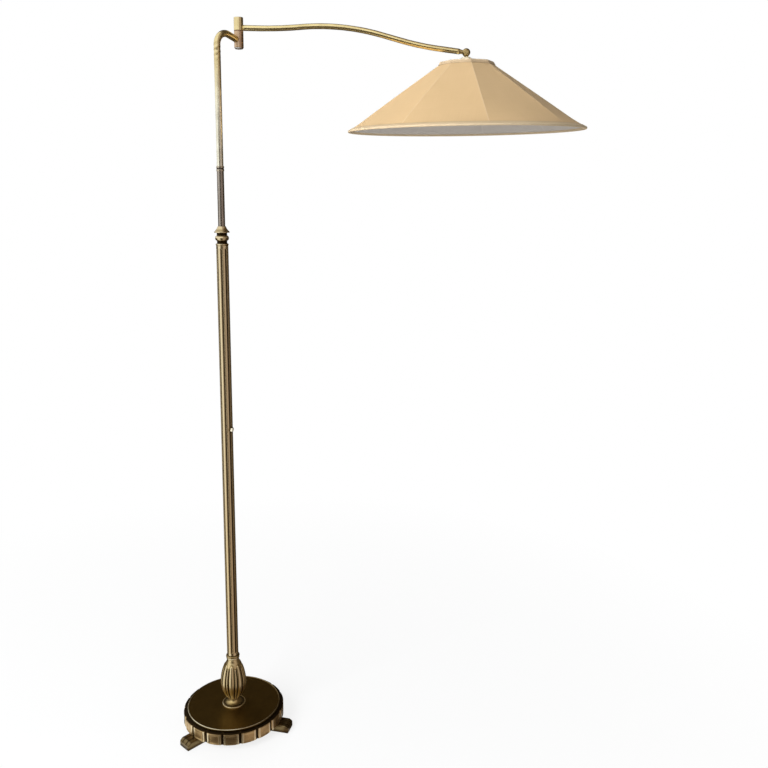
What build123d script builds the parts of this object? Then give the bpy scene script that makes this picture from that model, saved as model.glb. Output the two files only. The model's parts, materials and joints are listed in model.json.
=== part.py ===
from build123d import *
import os
from math import cos, radians, sin, sqrt

# A swing arm floor lamp in old brass: a weighted round base on three feet, a fluted column with a
# push switch, a mast that slides and turns in the column, a curved arm that swings on the mast's
# crook, and a panelled shade that tilts on a ball knuckle. The origin is on the floor under the
# column, +Z is up and the arm points along +X.

os.makedirs("parts", exist_ok=True)

# Fits
running_gap = 0.06
seat_gap = 0.03
face_gap = 0.2
overrun = 3.0

# Feet
foot_count = 3
foot_azimuth = -13.5
foot_height = 18.0
foot_width = 34.0
foot_inner_radius = 78.0
foot_outer_radius = 140.0
foot_bevel_length = 10.0
foot_bevel_height = 6.5
foot_toe_radius = 3.0
foot_groove_height = 2.4
foot_groove_depth = 1.4
foot_groove_level = 9.0
foot_screw_inset = 13.0
foot_screw_radius = 3.0
foot_screw_head_radius = 6.0
foot_screw_head_height = 4.0
foot_screw_recess = 4.0
foot_screw_grip = 15.0
foot_screw_slot_width = 1.4
foot_screw_slot_depth = 1.6

# Base
apron_radius = 116.0
apron_height = 26.0
apron_wall = 9.0
apron_web = 4.0
apron_shoulder = 3.0
apron_panels = 18
panel_groove_width = 5.6
panel_groove_depth = 4.4
panel_recess_width = 23.0
panel_recess_depth = 1.2
panel_frame = 3.0
ballast_gap = 0.4
disc_radius = 107.5
disc_thickness = 4.0
disc_bead_radius = 2.0
cord_azimuth = 136.5
cord_bore_radius = 3.7
cord_bush_radius = 5.2
cord_flange_radius = 7.2
cord_flange_thickness = 2.5
cord_channel_width = 13.0

# Tie rod through the base, the vase and the foot of the column
rod_radius = 5.0
rod_bore_radius = 3.6
rod_tail = 3.0
base_nut_across_flats = 17.0
base_nut_height = 8.0
base_washer_radius = 16.0
base_washer_thickness = 2.5
plug_height = 28.0

# Vase
vase_foot_radius = 27.0
vase_foot_height = 15.0
vase_foot_rim = 3.2
vase_neck_radius = 10.5
vase_shoulder_radius = 13.2
vase_height = 99.0
vase_radius = 30.0
vase_widest_share = 0.41
vase_top_radius = 12.6
gadroon_count = 8
gadroon_groove_radius = 1.3
gadroon_rib_angle = 15.0
seat_ring_radius = 15.9
seat_ring_height = 10.0
seat_ring_round = 2.4

# Column
column_radius = 13.0
column_wall = 2.8
column_length = 956.0
flute_count = 8
flute_azimuth = -90.0
flute_cutter_radius = 2.3
flute_depth = 1.2
flute_margin = 7.0

# Switch in the column
switch_height = 717.0
switch_azimuth = -35.0
switch_body_height = 24.0
switch_body_width = 12.0
switch_body_depth = 13.0
switch_neck_radius = 4.8
bezel_radius = 6.5
bezel_projection = 2.4
bezel_round = 0.8
button_radius = 3.9
button_projection = 2.9
button_round = 1.4
button_stem = 9.0
button_travel = 2.5

# Collar and clamp nut at the top of the column
collar_ring_radius = 13.7
collar_ring_height = 4.0
collar_neck_radius = 10.9
collar_neck_height = 6.0
collar_bead_radius = 14.9
collar_bead_height = 11.0
collar_throat_radius = 11.2
collar_throat_height = 6.5
collar_spigot_length = 38.0
collar_bore_gap = 0.5
thread_radius = 10.2
thread_height = 8.0
nut_base_radius = 16.6
nut_base_rim = 1.6
nut_top_radius = 8.8
nut_height = 13.5
collet_wall = 1.3
collet_depth = 6.0
collet_rise = 3.0
collet_saw_cut = 1.0

# Mast
mast_radius = 7.5
tube_wall = 1.0
mast_exposed = 117.0
mast_hidden = 289.0
guide_height = 12.0
joint_ring_radius = 8.3
joint_ring_height = 11.0
joint_ring_groove = 0.5
joint_ring_groove_height = 2.0

# Crook at the top of the mast, and the upright pivot
crook_radius = 7.0
crook_corner_height = 290.0
crook_bend_radius = 26.0
crook_azimuth = 55.0
pivot_offset = 64.6
crook_fall = 18.5
barrel_radius = 10.0
barrel_bore_radius = 7.0
lower_barrel_above = 20.5
lower_barrel_below = 14.5
upper_barrel_height = 27.6
barrel_gap = 0.5
pin_bore_radius = 4.5
pin_slot_wall_angle = 56.0
wire_window_radius = 3.6
pivot_nut_radius = 8.3
pivot_nut_height = 3.0
pivot_nut_washer = 1.0
pivot_cap_radius = 8.5
pivot_cap_thickness = 3.0
bottom_cap_radius = 9.2
bottom_cap_thickness = 2.2
bottom_cap_spigot = 3.0

# Swing arm, with its bends at shares of its reach
arm_radius = 6.0
arm_reach = 474.0
arm_height_above_gap = 6.1
arm_bend_reach_shares = (0.177, 0.470, 0.823)
arm_bend_rise_shares = (-0.0037, 0.0198, -0.0764)
arm_end_rise_share = -0.0996
arm_bend_radii = (900.0, 500.0, 600.0)

# Ball knuckle at the arm's end
knuckle_reach = 15.4
knuckle_radius = 9.0
knuckle_cheek_flat = 7.6
knuckle_neck_radius = 4.6
knuckle_collar_radius = 5.4
knuckle_collar_length = 2.0
knuckle_spigot = 14.0
knuckle_wire_bore = 2.4
tongue_thickness = 6.0
tongue_radius = 8.6
tongue_stem_width = 9.0
nipple_radius = 5.0
nipple_bottom_drop = 24.0
knuckle_screw_radius = 2.0
knuckle_screw_head_radius = 4.2
knuckle_screw_head_height = 1.7
knuckle_screw_slot_width = 1.1
knuckle_screw_slot_depth = 0.9
knuckle_screw_slot_turn = 40.0
knuckle_nut_radius = 4.0
knuckle_nut_height = 1.8

# Lampholder and bulb, in drops below the knuckle
head_tilt = 0.9
holder_top_drop = 9.8
holder_cap_top_radius = 8.2
holder_cap_radius = 17.0
holder_cap_height = 30.0
holder_cap_crown = 19.0
holder_wall = 2.0
shell_radius = 16.4
shell_length = 40.0
insert_height = 16.0
insert_inset = 2.0
shade_ring_radius = 22.0
shade_ring_height = 5.0
shade_ring_inset = 8.0
bulb_cap_radius = 13.2
bulb_cap_height = 26.0
bulb_radius = 22.5
bulb_neck_radius = 13.0
bulb_glass_wall = 1.0
bulb_length = 74.0

# Shade
shade_sides = 9
shade_corner_azimuth = -5.4
shade_top_drop = 20.5
shade_rim_drop = 164.5
shade_top_radius = 62.5
shade_rim_radius = 260.8
cover_thickness = 1.0
lining_thickness = 0.7
lining_margin = 7.0
top_trim_height = 8.0
top_trim_lean = 4.5
top_trim_proud = 0.9
top_trim_thickness = 2.6
rim_trim_height = 4.2
rim_trim_proud = 0.9
rim_trim_thickness = 4.6
frame_wire = 2.6
frame_gap = 0.35
spider_ring_margin = 4.6
spider_ring_thickness = 2.0
spider_arm_radius = 1.6
spider_arms = 3

# Wires that run inside the tubes
wire_radius = 2.0
wire_bend_radius = 4.2

# Levels, worked out from the floor up
apron_top = foot_height + apron_height
disc_top = apron_top + disc_thickness
vase_bottom = disc_top + vase_foot_height
vase_top = vase_bottom + vase_height
column_bottom = vase_top + seat_ring_height
column_top = column_bottom + column_length
neck_bottom = column_top + collar_ring_height
bead_bottom = neck_bottom + collar_neck_height
bead_top = bead_bottom + collar_bead_height
nut_bottom = bead_top + collar_throat_height
nut_top = nut_bottom + nut_height
mast_bottom = nut_top - mast_hidden
joint_ring_bottom = nut_top + mast_exposed
crook_bottom = joint_ring_bottom + joint_ring_height / 2
crook_corner = crook_bottom + crook_corner_height
crook_end = crook_corner - crook_fall

# Bores and circles shared by what passes through them
foot_screw_circle = foot_inner_radius + foot_screw_inset
rod_hole = rod_radius + seat_gap
column_bore = column_radius - column_wall
ballast_radius = apron_radius - apron_wall - ballast_gap
ballast_top = apron_top - apron_web
collar_bore = mast_radius + collar_bore_gap
collet_radius = mast_radius + running_gap + collet_wall

# Pivot levels and centre
pivot_x = pivot_offset * cos(radians(crook_azimuth))
pivot_y = pivot_offset * sin(radians(crook_azimuth))
lower_barrel_bottom = crook_end - lower_barrel_below
lower_barrel_top = crook_end + lower_barrel_above
upper_barrel_bottom = lower_barrel_top + barrel_gap
upper_barrel_top = upper_barrel_bottom + upper_barrel_height
arm_level = upper_barrel_bottom + arm_height_above_gap
pivot = Plane(origin=(pivot_x, pivot_y, 0))
pin_radius = barrel_bore_radius - running_gap
pivot_nut_seat = upper_barrel_top - pivot_cap_thickness - pivot_nut_height - pivot_nut_washer - face_gap

# Arm centreline, from the pivot to the arm's end
arm_corners = [
    (pivot_x + arm_reach * reach, pivot_y, arm_level + arm_reach * rise)
    for reach, rise in zip(arm_bend_reach_shares, arm_bend_rise_shares)
]
arm_start = Vector(pivot_x, pivot_y, arm_level)
arm_end = Vector(pivot_x + arm_reach, pivot_y, arm_level + arm_reach * arm_end_rise_share)
arm_direction = (arm_end - Vector(*arm_corners[-1])).normalized()
arm_bore = arm_radius - tube_wall
knuckle_centre = arm_end + arm_direction * knuckle_reach
knuckle = Plane(origin=knuckle_centre, x_dir=arm_direction, z_dir=arm_direction.cross(Vector(0, 1, 0)))

# The head's own frame: its centre is the knuckle and it leans by the tilt that the lamp rests at
head_lean = radians(head_tilt)
head = Plane(
    origin=knuckle_centre,
    x_dir=(cos(head_lean), 0, sin(head_lean)),
    z_dir=(-sin(head_lean), 0, cos(head_lean)),
)
holder_cap_bottom = holder_top_drop + holder_cap_height
shell_bottom = holder_cap_bottom + shell_length
insert_bottom = holder_cap_bottom + insert_inset + insert_height
bulb_top = insert_bottom + face_gap
upper_ring_bottom = holder_cap_bottom + shade_ring_inset + shade_ring_height
spider_bottom = upper_ring_bottom + spider_ring_thickness
shell_hole = shell_radius + seat_gap

# The shade's slope: how the corner radius of the cover's outside grows with the drop
cover_top_drop = shade_top_drop + top_trim_height
cover_rim_drop = shade_rim_drop - rim_trim_height
shade_flare = (shade_rim_radius - shade_top_radius) / (shade_rim_drop - cover_top_drop)
half_side_angle = radians(180 / shade_sides)
panel_slope = sqrt(1 + (shade_flare * cos(half_side_angle)) ** 2)
corner_inset = panel_slope / cos(half_side_angle)


def cover_radius(drop, depth=0):
    """Corner radius of a surface that lies depth inside the cover's outside, at a drop."""
    return shade_top_radius + (drop - cover_top_drop) * shade_flare - depth * corner_inset


def save(name, shape):
    """Label a finished piece and write its file."""
    shape.label = name
    export_step(shape, f"parts/{name}.step")


def profile_plane(base):
    """Upright plane through a base plane's normal, for outlines of (radius, height)."""
    return Plane(origin=base.origin, x_dir=base.x_dir, z_dir=-base.y_dir)


def turned(outline, base=Plane.XY):
    """Solid turned about a base plane's normal from a closed outline of (radius, height) points."""
    with BuildPart() as body:
        with BuildSketch(profile_plane(base)):
            with BuildLine():
                Polyline(*outline, close=True)
            make_face()
        revolve(axis=Axis(base.origin, base.z_dir))
    return body.part


def sleeve(outer_radius, inner_radius, bottom, top, base=Plane.XY):
    """Plain tube or washer about a base plane's normal."""
    return turned(
        [(inner_radius, bottom), (outer_radius, bottom), (outer_radius, top), (inner_radius, top)], base
    )


def rod(radius, path):
    """Round rod along a path."""
    with BuildPart() as body:
        with BuildSketch(Plane(origin=path @ 0, z_dir=path % 0)):
            Circle(radius)
        sweep(path=path)
    return body.part


def tube(radius, path):
    """Drawn tube along a path, with the wall that all the lamp's tubes have."""
    with BuildPart() as body:
        with BuildSketch(Plane(origin=path @ 0, z_dir=path % 0)):
            Circle(radius)
            Circle(radius - tube_wall, mode=Mode.SUBTRACT)
        sweep(path=path)
    return body.part


def radial_plane(azimuth, radius, height):
    """Plane that faces outwards from the column's axis."""
    turn = radians(azimuth)
    outward = (cos(turn), sin(turn), 0)
    return Plane(
        origin=(radius * cos(turn), radius * sin(turn), height),
        x_dir=(-sin(turn), cos(turn), 0),
        z_dir=outward,
    )


def corner_plane(azimuth):
    """Plane through the head's axis and one corner of the shade, for (radius, -drop) outlines."""
    turn = radians(azimuth)
    outward = head.x_dir * cos(turn) + head.y_dir * sin(turn)
    return Plane(origin=head.origin, x_dir=outward, z_dir=outward.cross(head.z_dir))


def mitred_band(section):
    """Straight lengths of one section, one for each side of the shade, mitred at its corners."""
    lengths = []
    side_angle = 360 / shade_sides
    for side in range(shade_sides):
        azimuth = shade_corner_azimuth + side * side_angle
        with BuildPart() as length:
            for corner in (azimuth, azimuth + side_angle):
                with BuildSketch(corner_plane(corner)):
                    with BuildLine():
                        Polyline(*section, close=True)
                    make_face()
            loft(ruled=True)
        lengths.append(length.part.solid())
    return Compound(lengths)


# Feet, each a bevelled block screwed up into the ballast
foot_azimuths = [foot_azimuth + 360 / foot_count * number for number in range(foot_count)]
for number, azimuth in enumerate(foot_azimuths, start=1):
    foot_frame = Plane.XY.rotated((0, 0, azimuth))
    with BuildPart(foot_frame) as foot:
        with BuildSketch(profile_plane(foot_frame)):
            with BuildLine():
                Polyline(
                    (foot_inner_radius, 0),
                    (foot_outer_radius, 0),
                    (foot_outer_radius, foot_height - foot_bevel_height),
                    (foot_outer_radius - foot_bevel_length, foot_height),
                    (foot_inner_radius, foot_height),
                    close=True,
                )
            make_face()
        extrude(amount=foot_width / 2, both=True)
        outer_end = foot.edges().filter_by(Axis.Z).sort_by_distance(foot_frame.origin)[-2:]
        fillet(outer_end, foot_toe_radius)
        groove_length = foot_outer_radius - foot_inner_radius + foot_toe_radius
        with Locations(
            (foot_inner_radius, foot_width / 2, foot_groove_level),
            (foot_inner_radius, -foot_width / 2, foot_groove_level),
        ):
            Box(
                2 * groove_length + overrun,
                2 * foot_groove_depth,
                foot_groove_height,
                mode=Mode.SUBTRACT,
            )
        with Locations((foot_screw_circle, 0, 0)):
            Cylinder(
                foot_screw_radius + face_gap,
                foot_height,
                align=(Align.CENTER, Align.CENTER, Align.MIN),
                mode=Mode.SUBTRACT,
            )
            Cylinder(
                foot_screw_head_radius + face_gap,
                foot_screw_recess + foot_screw_head_height,
                align=(Align.CENTER, Align.CENTER, Align.MIN),
                mode=Mode.SUBTRACT,
            )
    save(f"foot_{number}", foot.part)

# Foot screws, slotted, one up through each foot
foot_screws = []
for azimuth in foot_azimuths:
    screw_axis = radial_plane(azimuth, foot_screw_circle, 0).origin
    with BuildPart(Plane(origin=(screw_axis.X, screw_axis.Y, foot_screw_recess))) as foot_screw:
        Cylinder(
            foot_screw_head_radius, foot_screw_head_height, align=(Align.CENTER, Align.CENTER, Align.MIN)
        )
        Cylinder(
            foot_screw_radius,
            foot_height - foot_screw_recess + foot_screw_grip,
            align=(Align.CENTER, Align.CENTER, Align.MIN),
        )
        Box(
            3 * foot_screw_head_radius,
            foot_screw_slot_width,
            2 * foot_screw_slot_depth,
            mode=Mode.SUBTRACT,
        )
    foot_screws.append(foot_screw.part.solid())
save("foot_screws", Compound(foot_screws))

# Apron: an open drum with a top web, its wall divided into framed panels
panel_angle = 360 / apron_panels
apron_middle = foot_height + apron_height / 2
recess_middle = apron_middle - apron_shoulder / 2
cord_axis = radial_plane(cord_azimuth, apron_radius - apron_wall, recess_middle)
with BuildPart(Plane.XY.offset(apron_middle)) as base_apron:
    with BuildSketch(Plane.XZ):
        with BuildLine():
            Polyline(
                (rod_hole, ballast_top),
                (apron_radius - apron_wall, ballast_top),
                (apron_radius - apron_wall, foot_height),
                (apron_radius, foot_height),
                (apron_radius, apron_top - apron_shoulder),
                (apron_radius - apron_shoulder, apron_top),
                (rod_hole, apron_top),
                close=True,
            )
        make_face()
    revolve(axis=Axis.Z)
    with PolarLocations(apron_radius, apron_panels, foot_azimuth):
        Box(2 * panel_groove_depth, panel_groove_width, apron_height + overrun, mode=Mode.SUBTRACT)
    recess_height = apron_height - apron_shoulder - 2 * panel_frame
    with Locations((0, 0, -apron_shoulder / 2)):
        with PolarLocations(apron_radius, apron_panels, foot_azimuth + panel_angle / 2):
            Box(2 * panel_recess_depth, panel_recess_width, recess_height, mode=Mode.SUBTRACT)
    with BuildSketch(cord_axis):
        Circle(cord_bush_radius + seat_gap)
    extrude(amount=2 * apron_wall, both=True, mode=Mode.SUBTRACT)
save("base_apron", base_apron.part)

# Ballast: a cast iron disc in the drum, with a channel for the cord and holes for the foot screws
channel_plane = radial_plane(cord_azimuth, base_washer_radius, foot_height)
channel_height = cord_axis.origin.Z + cord_bush_radius + face_gap - foot_height
with BuildPart(Plane.XY.offset(foot_height)) as base_ballast:
    Cylinder(ballast_radius, ballast_top - foot_height, align=(Align.CENTER, Align.CENTER, Align.MIN))
    Cylinder(rod_hole, 2 * apron_height, mode=Mode.SUBTRACT)
    with PolarLocations(foot_screw_circle, foot_count, foot_azimuth):
        Cylinder(foot_screw_radius + seat_gap, 2 * foot_screw_grip + 2 * face_gap, mode=Mode.SUBTRACT)
    with BuildSketch(channel_plane):
        Rectangle(cord_channel_width, 2 * channel_height)
    extrude(amount=ballast_radius, mode=Mode.SUBTRACT)
save("base_ballast", base_ballast.part)

# Cord bush in the back of the apron, flanged outside
bush_outer = apron_wall - panel_recess_depth
with BuildPart() as cord_bush:
    with BuildSketch(cord_axis):
        Circle(cord_bush_radius)
    extrude(amount=bush_outer)
    with BuildSketch(cord_axis.offset(bush_outer)):
        Circle(cord_flange_radius)
    extrude(amount=cord_flange_thickness)
    with BuildSketch(cord_axis):
        Circle(cord_bore_radius)
    extrude(amount=apron_wall + cord_flange_thickness, mode=Mode.SUBTRACT)
save("cord_bush", cord_bush.part)

# Turned disc on the apron, with a bead round its rim
with BuildPart() as base_disc:
    with BuildSketch(Plane.XZ):
        with BuildLine():
            Line((rod_hole, apron_top), (disc_radius, apron_top))
            Line((disc_radius, apron_top), (disc_radius, disc_top))
            ThreePointArc(
                (disc_radius, disc_top),
                (disc_radius - disc_bead_radius, disc_top + disc_bead_radius),
                (disc_radius - 2 * disc_bead_radius, disc_top),
            )
            Line((disc_radius - 2 * disc_bead_radius, disc_top), (rod_hole, disc_top))
            Line((rod_hole, disc_top), (rod_hole, apron_top))
        make_face()
    revolve(axis=Axis.Z)
save("base_disc", base_disc.part)

# Bell-shaped foot under the vase
bell_run = vase_foot_radius - vase_foot_rim - vase_neck_radius
bell_rise = vase_foot_height - 2 * vase_foot_rim
bell_hollow = sin(radians(45))
with BuildPart() as vase_foot:
    with BuildSketch(Plane.XZ):
        with BuildLine():
            Line((rod_hole, disc_top), (vase_foot_radius, disc_top))
            Line((vase_foot_radius, disc_top), (vase_foot_radius, disc_top + vase_foot_rim))
            Line(
                (vase_foot_radius, disc_top + vase_foot_rim),
                (vase_foot_radius - vase_foot_rim, disc_top + vase_foot_rim),
            )
            ThreePointArc(
                (vase_foot_radius - vase_foot_rim, disc_top + vase_foot_rim),
                (
                    vase_neck_radius + bell_run * (1 - bell_hollow),
                    vase_bottom - vase_foot_rim - bell_rise * bell_hollow,
                ),
                (vase_neck_radius, vase_bottom - vase_foot_rim),
            )
            Line((vase_neck_radius, vase_bottom - vase_foot_rim), (vase_shoulder_radius, vase_bottom))
            Line((vase_shoulder_radius, vase_bottom), (rod_hole, vase_bottom))
            Line((rod_hole, vase_bottom), (rod_hole, disc_top))
        make_face()
    revolve(axis=Axis.Z)
save("vase_foot", vase_foot.part)

# Vase: a turned bulb whose wide gadroons are parted by narrow ribs, each between two grooves
vase_widest = vase_bottom + vase_height * vase_widest_share
with BuildLine(Plane.XZ) as vase_outline:
    TangentArc((vase_radius, vase_widest), (vase_top_radius, vase_top), tangent=(0, 1))
    TangentArc((vase_radius, vase_widest), (vase_shoulder_radius, vase_bottom), tangent=(0, -1))
with BuildPart() as vase_groove:
    for arc in vase_outline.edges():
        with BuildSketch(Plane(origin=arc @ 0, z_dir=arc % 0)):
            Circle(gadroon_groove_radius)
        sweep(path=arc)
with BuildPart() as vase:
    with BuildSketch(Plane.XZ):
        with BuildLine():
            TangentArc((vase_radius, vase_widest), (vase_top_radius, vase_top), tangent=(0, 1))
            Line((vase_top_radius, vase_top), (rod_hole, vase_top))
            Line((rod_hole, vase_top), (rod_hole, vase_bottom))
            Line((rod_hole, vase_bottom), (vase_shoulder_radius, vase_bottom))
            TangentArc((vase_radius, vase_widest), (vase_shoulder_radius, vase_bottom), tangent=(0, -1))
        make_face()
    revolve(axis=Axis.Z)
    for number in range(gadroon_count):
        rib_azimuth = flute_azimuth + 360 / gadroon_count * (number + 0.5)
        for side in (-0.5, 0.5):
            turn = rib_azimuth + side * gadroon_rib_angle
            add(vase_groove.part.rotate(Axis.Z, turn), mode=Mode.SUBTRACT)
save("vase", vase.part)

# Seat ring between the vase and the column
with BuildPart() as column_seat_ring:
    add(sleeve(seat_ring_radius, rod_hole, vase_top, column_bottom))
    fillet(column_seat_ring.edges().filter_by(GeomType.CIRCLE).group_by(SortBy.RADIUS)[-1], seat_ring_round)
save("column_seat_ring", column_seat_ring.part)

# Tie rod, its nut and washer under the ballast, and the plug that it screws into
rod_bottom = foot_height - base_washer_thickness - base_nut_height - rod_tail
save("tie_rod", sleeve(rod_radius, rod_bore_radius, rod_bottom, column_bottom + plug_height))
save(
    "base_washer",
    sleeve(base_washer_radius, rod_hole, foot_height - base_washer_thickness, foot_height),
)
with BuildPart() as base_nut:
    with BuildSketch(Plane.XY.offset(foot_height - base_washer_thickness)):
        RegularPolygon(base_nut_across_flats / 2, 6, major_radius=False)
        Circle(rod_hole, mode=Mode.SUBTRACT)
    extrude(amount=-base_nut_height)
save("base_nut", base_nut.part)
save("column_plug", sleeve(column_bore - seat_gap, rod_hole, column_bottom, column_bottom + plug_height))

# Fluted column tube, with a hole for the switch
switch_axis = radial_plane(switch_azimuth, 0, switch_height)
flute_length = column_length - 2 * flute_margin
flute_circle = column_radius - flute_depth + flute_cutter_radius
with BuildPart(Plane.XY.offset(column_bottom + column_length / 2)) as column_tube:
    Cylinder(column_radius, column_length)
    Cylinder(column_bore, column_length, mode=Mode.SUBTRACT)
    with PolarLocations(flute_circle, flute_count, flute_azimuth):
        Cylinder(flute_cutter_radius, flute_length, mode=Mode.SUBTRACT)
    with BuildSketch(switch_axis):
        Circle(switch_neck_radius + seat_gap)
    extrude(amount=2 * column_radius, mode=Mode.SUBTRACT)
save("column_tube", column_tube.part)

# Push switch: its body stands in the column and its neck comes out through the wall
body_front = switch_body_depth / 2
bezel_front = column_radius + bezel_projection
button_front = bezel_front + button_projection
with BuildPart() as switch_body:
    with BuildSketch(switch_axis.offset(-body_front)):
        Rectangle(switch_body_width, switch_body_height)
    extrude(amount=switch_body_depth)
    with BuildSketch(switch_axis.offset(body_front)):
        Circle(switch_neck_radius)
    extrude(amount=bezel_front - body_front)
    with BuildSketch(switch_axis.offset(button_front - button_stem - button_travel - face_gap)):
        Circle(button_radius + running_gap)
    extrude(amount=button_stem + button_travel + overrun, mode=Mode.SUBTRACT)
save("switch_body", switch_body.part)

with BuildPart() as switch_bezel:
    with BuildSketch(switch_axis):
        Circle(bezel_radius)
        Circle(switch_neck_radius + seat_gap, mode=Mode.SUBTRACT)
    extrude(amount=bezel_front)
    rim = switch_bezel.edges().filter_by(GeomType.CIRCLE).group_by(SortBy.RADIUS)[-1]
    fillet(rim.sort_by_distance(switch_axis.origin)[-1:], bezel_round)
    with Locations((0, 0, switch_height)):
        Cylinder(column_radius + seat_gap, 4 * bezel_radius, mode=Mode.SUBTRACT)
save("switch_bezel", switch_bezel.part)

with BuildPart() as switch_button:
    with BuildSketch(switch_axis.offset(button_front - button_stem)):
        Circle(button_radius)
    extrude(amount=button_stem)
    front_edge = switch_button.edges().filter_by(GeomType.CIRCLE).sort_by_distance(switch_axis.origin)[-1:]
    fillet(front_edge, button_round)
save("switch_button", switch_button.part)

# Collar on the column: ring, neck, bead and a threaded throat, bored for the mast and the collet
thread_top = nut_bottom + thread_height
collet_bottom = thread_top - collet_depth
collet_hole = collet_radius + running_gap
with BuildPart() as column_collar:
    with BuildSketch(Plane.XZ):
        with BuildLine():
            Polyline(
                (collar_bore, column_top - collar_spigot_length),
                (column_bore - seat_gap, column_top - collar_spigot_length),
                (column_bore - seat_gap, column_top),
                (collar_ring_radius, column_top),
                (collar_ring_radius, neck_bottom),
                (collar_neck_radius, neck_bottom),
                (collar_neck_radius, bead_bottom),
            )
            ThreePointArc(
                (collar_neck_radius, bead_bottom),
                (collar_bead_radius, (bead_bottom + bead_top) / 2),
                (collar_neck_radius, bead_top),
            )
            Polyline(
                (collar_neck_radius, bead_top),
                (collar_throat_radius, bead_top),
                (collar_throat_radius, nut_bottom - face_gap),
                (thread_radius, nut_bottom - face_gap),
                (thread_radius, thread_top),
                (collet_hole, thread_top),
                (collet_hole, collet_bottom - face_gap),
                (collar_bore, collet_bottom - face_gap),
                (collar_bore, column_top - collar_spigot_length),
            )
        make_face()
    revolve(axis=Axis.Z)
save("column_collar", column_collar.part)

# Split collet that grips the mast, with a tapered nose
collet_top = thread_top + collet_rise
collet_nose = mast_radius + running_gap + collet_wall / 2
with BuildPart() as collet:
    add(
        turned(
            [
                (mast_radius + running_gap, collet_bottom),
                (collet_radius, collet_bottom),
                (collet_radius, thread_top),
                (collet_nose, collet_top),
                (mast_radius + running_gap, collet_top),
            ]
        )
    )
    with Locations((-collet_radius, 0, (collet_bottom + collet_top) / 2)):
        Box(
            2 * collet_wall + collet_saw_cut,
            collet_saw_cut,
            2 * collet_depth + collet_rise,
            mode=Mode.SUBTRACT,
        )
save("collet", collet.part)

# Clamp nut: a bell-shaped cone that screws down over the collet
nut_bore = thread_radius + running_gap
save(
    "clamp_nut",
    turned(
        [
            (nut_bore, nut_bottom),
            (nut_base_radius, nut_bottom),
            (nut_base_radius, nut_bottom + nut_base_rim),
            (nut_top_radius, nut_top),
            (mast_radius + face_gap, nut_top),
            (mast_radius + face_gap, collet_top + face_gap),
            (collet_nose + face_gap, collet_top + face_gap),
            (collet_hole, thread_top + face_gap),
            (nut_bore, thread_top + face_gap),
        ]
    ),
)

# Mast: the sliding tube, its guide at the bottom and the ring that joins it to the crook
mast_line = Line((0, 0, mast_bottom), (0, 0, crook_bottom))
save("mast_tube", tube(mast_radius, mast_line))
save(
    "mast_guide",
    sleeve(column_bore - running_gap, mast_radius + seat_gap, mast_bottom, mast_bottom + guide_height),
)
joint_ring_top = joint_ring_bottom + joint_ring_height
with BuildPart() as mast_joint_ring:
    add(sleeve(joint_ring_radius, crook_radius + seat_gap, joint_ring_bottom, joint_ring_top))
    with Locations((0, 0, joint_ring_bottom)):
        Cylinder(
            mast_radius + seat_gap,
            joint_ring_height / 2,
            align=(Align.CENTER, Align.CENTER, Align.MIN),
            mode=Mode.SUBTRACT,
        )
    with BuildSketch(Plane.XZ):
        with Locations((joint_ring_radius, joint_ring_bottom + joint_ring_height / 2)):
            Rectangle(2 * joint_ring_groove, joint_ring_groove_height)
    revolve(axis=Axis.Z, mode=Mode.SUBTRACT)
save("mast_joint_ring", mast_joint_ring.part)

# Crook: the tube that bends over to the pivot, coped to the lower barrel
crook_start = (0, 0, crook_bottom)
crook_top = (0, 0, crook_corner)
crook_tip = (pivot_x, pivot_y, crook_end)
crook_line = FilletPolyline(crook_start, crook_top, crook_tip, radius=crook_bend_radius)
with BuildPart() as crook_tube:
    add(tube(crook_radius, crook_line))
    with Locations((pivot_x, pivot_y, crook_end)):
        Cylinder(barrel_radius + seat_gap, 4 * barrel_radius + 2 * crook_radius, mode=Mode.SUBTRACT)
save("crook_tube", crook_tube.part)

# Lower barrel of the pivot, with a window for the wire on the crook's side
crook_inward = (Vector(*crook_top) - Vector(*crook_tip)).normalized()
crook_window = Plane(origin=crook_tip, z_dir=crook_inward)
with BuildPart() as pivot_lower_barrel:
    add(sleeve(barrel_radius, barrel_bore_radius, lower_barrel_bottom, lower_barrel_top, pivot))
    with BuildSketch(crook_window):
        Circle(wire_window_radius)
    extrude(amount=2 * barrel_radius, mode=Mode.SUBTRACT)
save("pivot_lower_barrel", pivot_lower_barrel.part)

# Hollow pin fixed in the lower barrel, with windows for the wire below and above the joint
pin_bottom = lower_barrel_bottom + bottom_cap_spigot + face_gap
pin_top = pivot_nut_seat + pivot_nut_washer + pivot_nut_height
slot_half_angle = 180 - pin_slot_wall_angle / 2
slot_height = 2 * wire_window_radius
with BuildPart() as pivot_pin:
    add(sleeve(pin_radius, pin_bore_radius, pin_bottom, pin_top, pivot))
    with BuildSketch(crook_window):
        Circle(wire_window_radius)
    extrude(amount=2 * barrel_radius, mode=Mode.SUBTRACT)
    with BuildSketch(Plane(origin=(pivot_x, pivot_y, arm_level - slot_height / 2))):
        with BuildLine():
            slot_arc = CenterArc((0, 0), barrel_radius, -slot_half_angle, 2 * slot_half_angle)
            Line(slot_arc @ 1, (0, 0))
            Line((0, 0), slot_arc @ 0)
        make_face()
    extrude(amount=slot_height, mode=Mode.SUBTRACT)
save("pivot_pin", pivot_pin.part)

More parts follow.
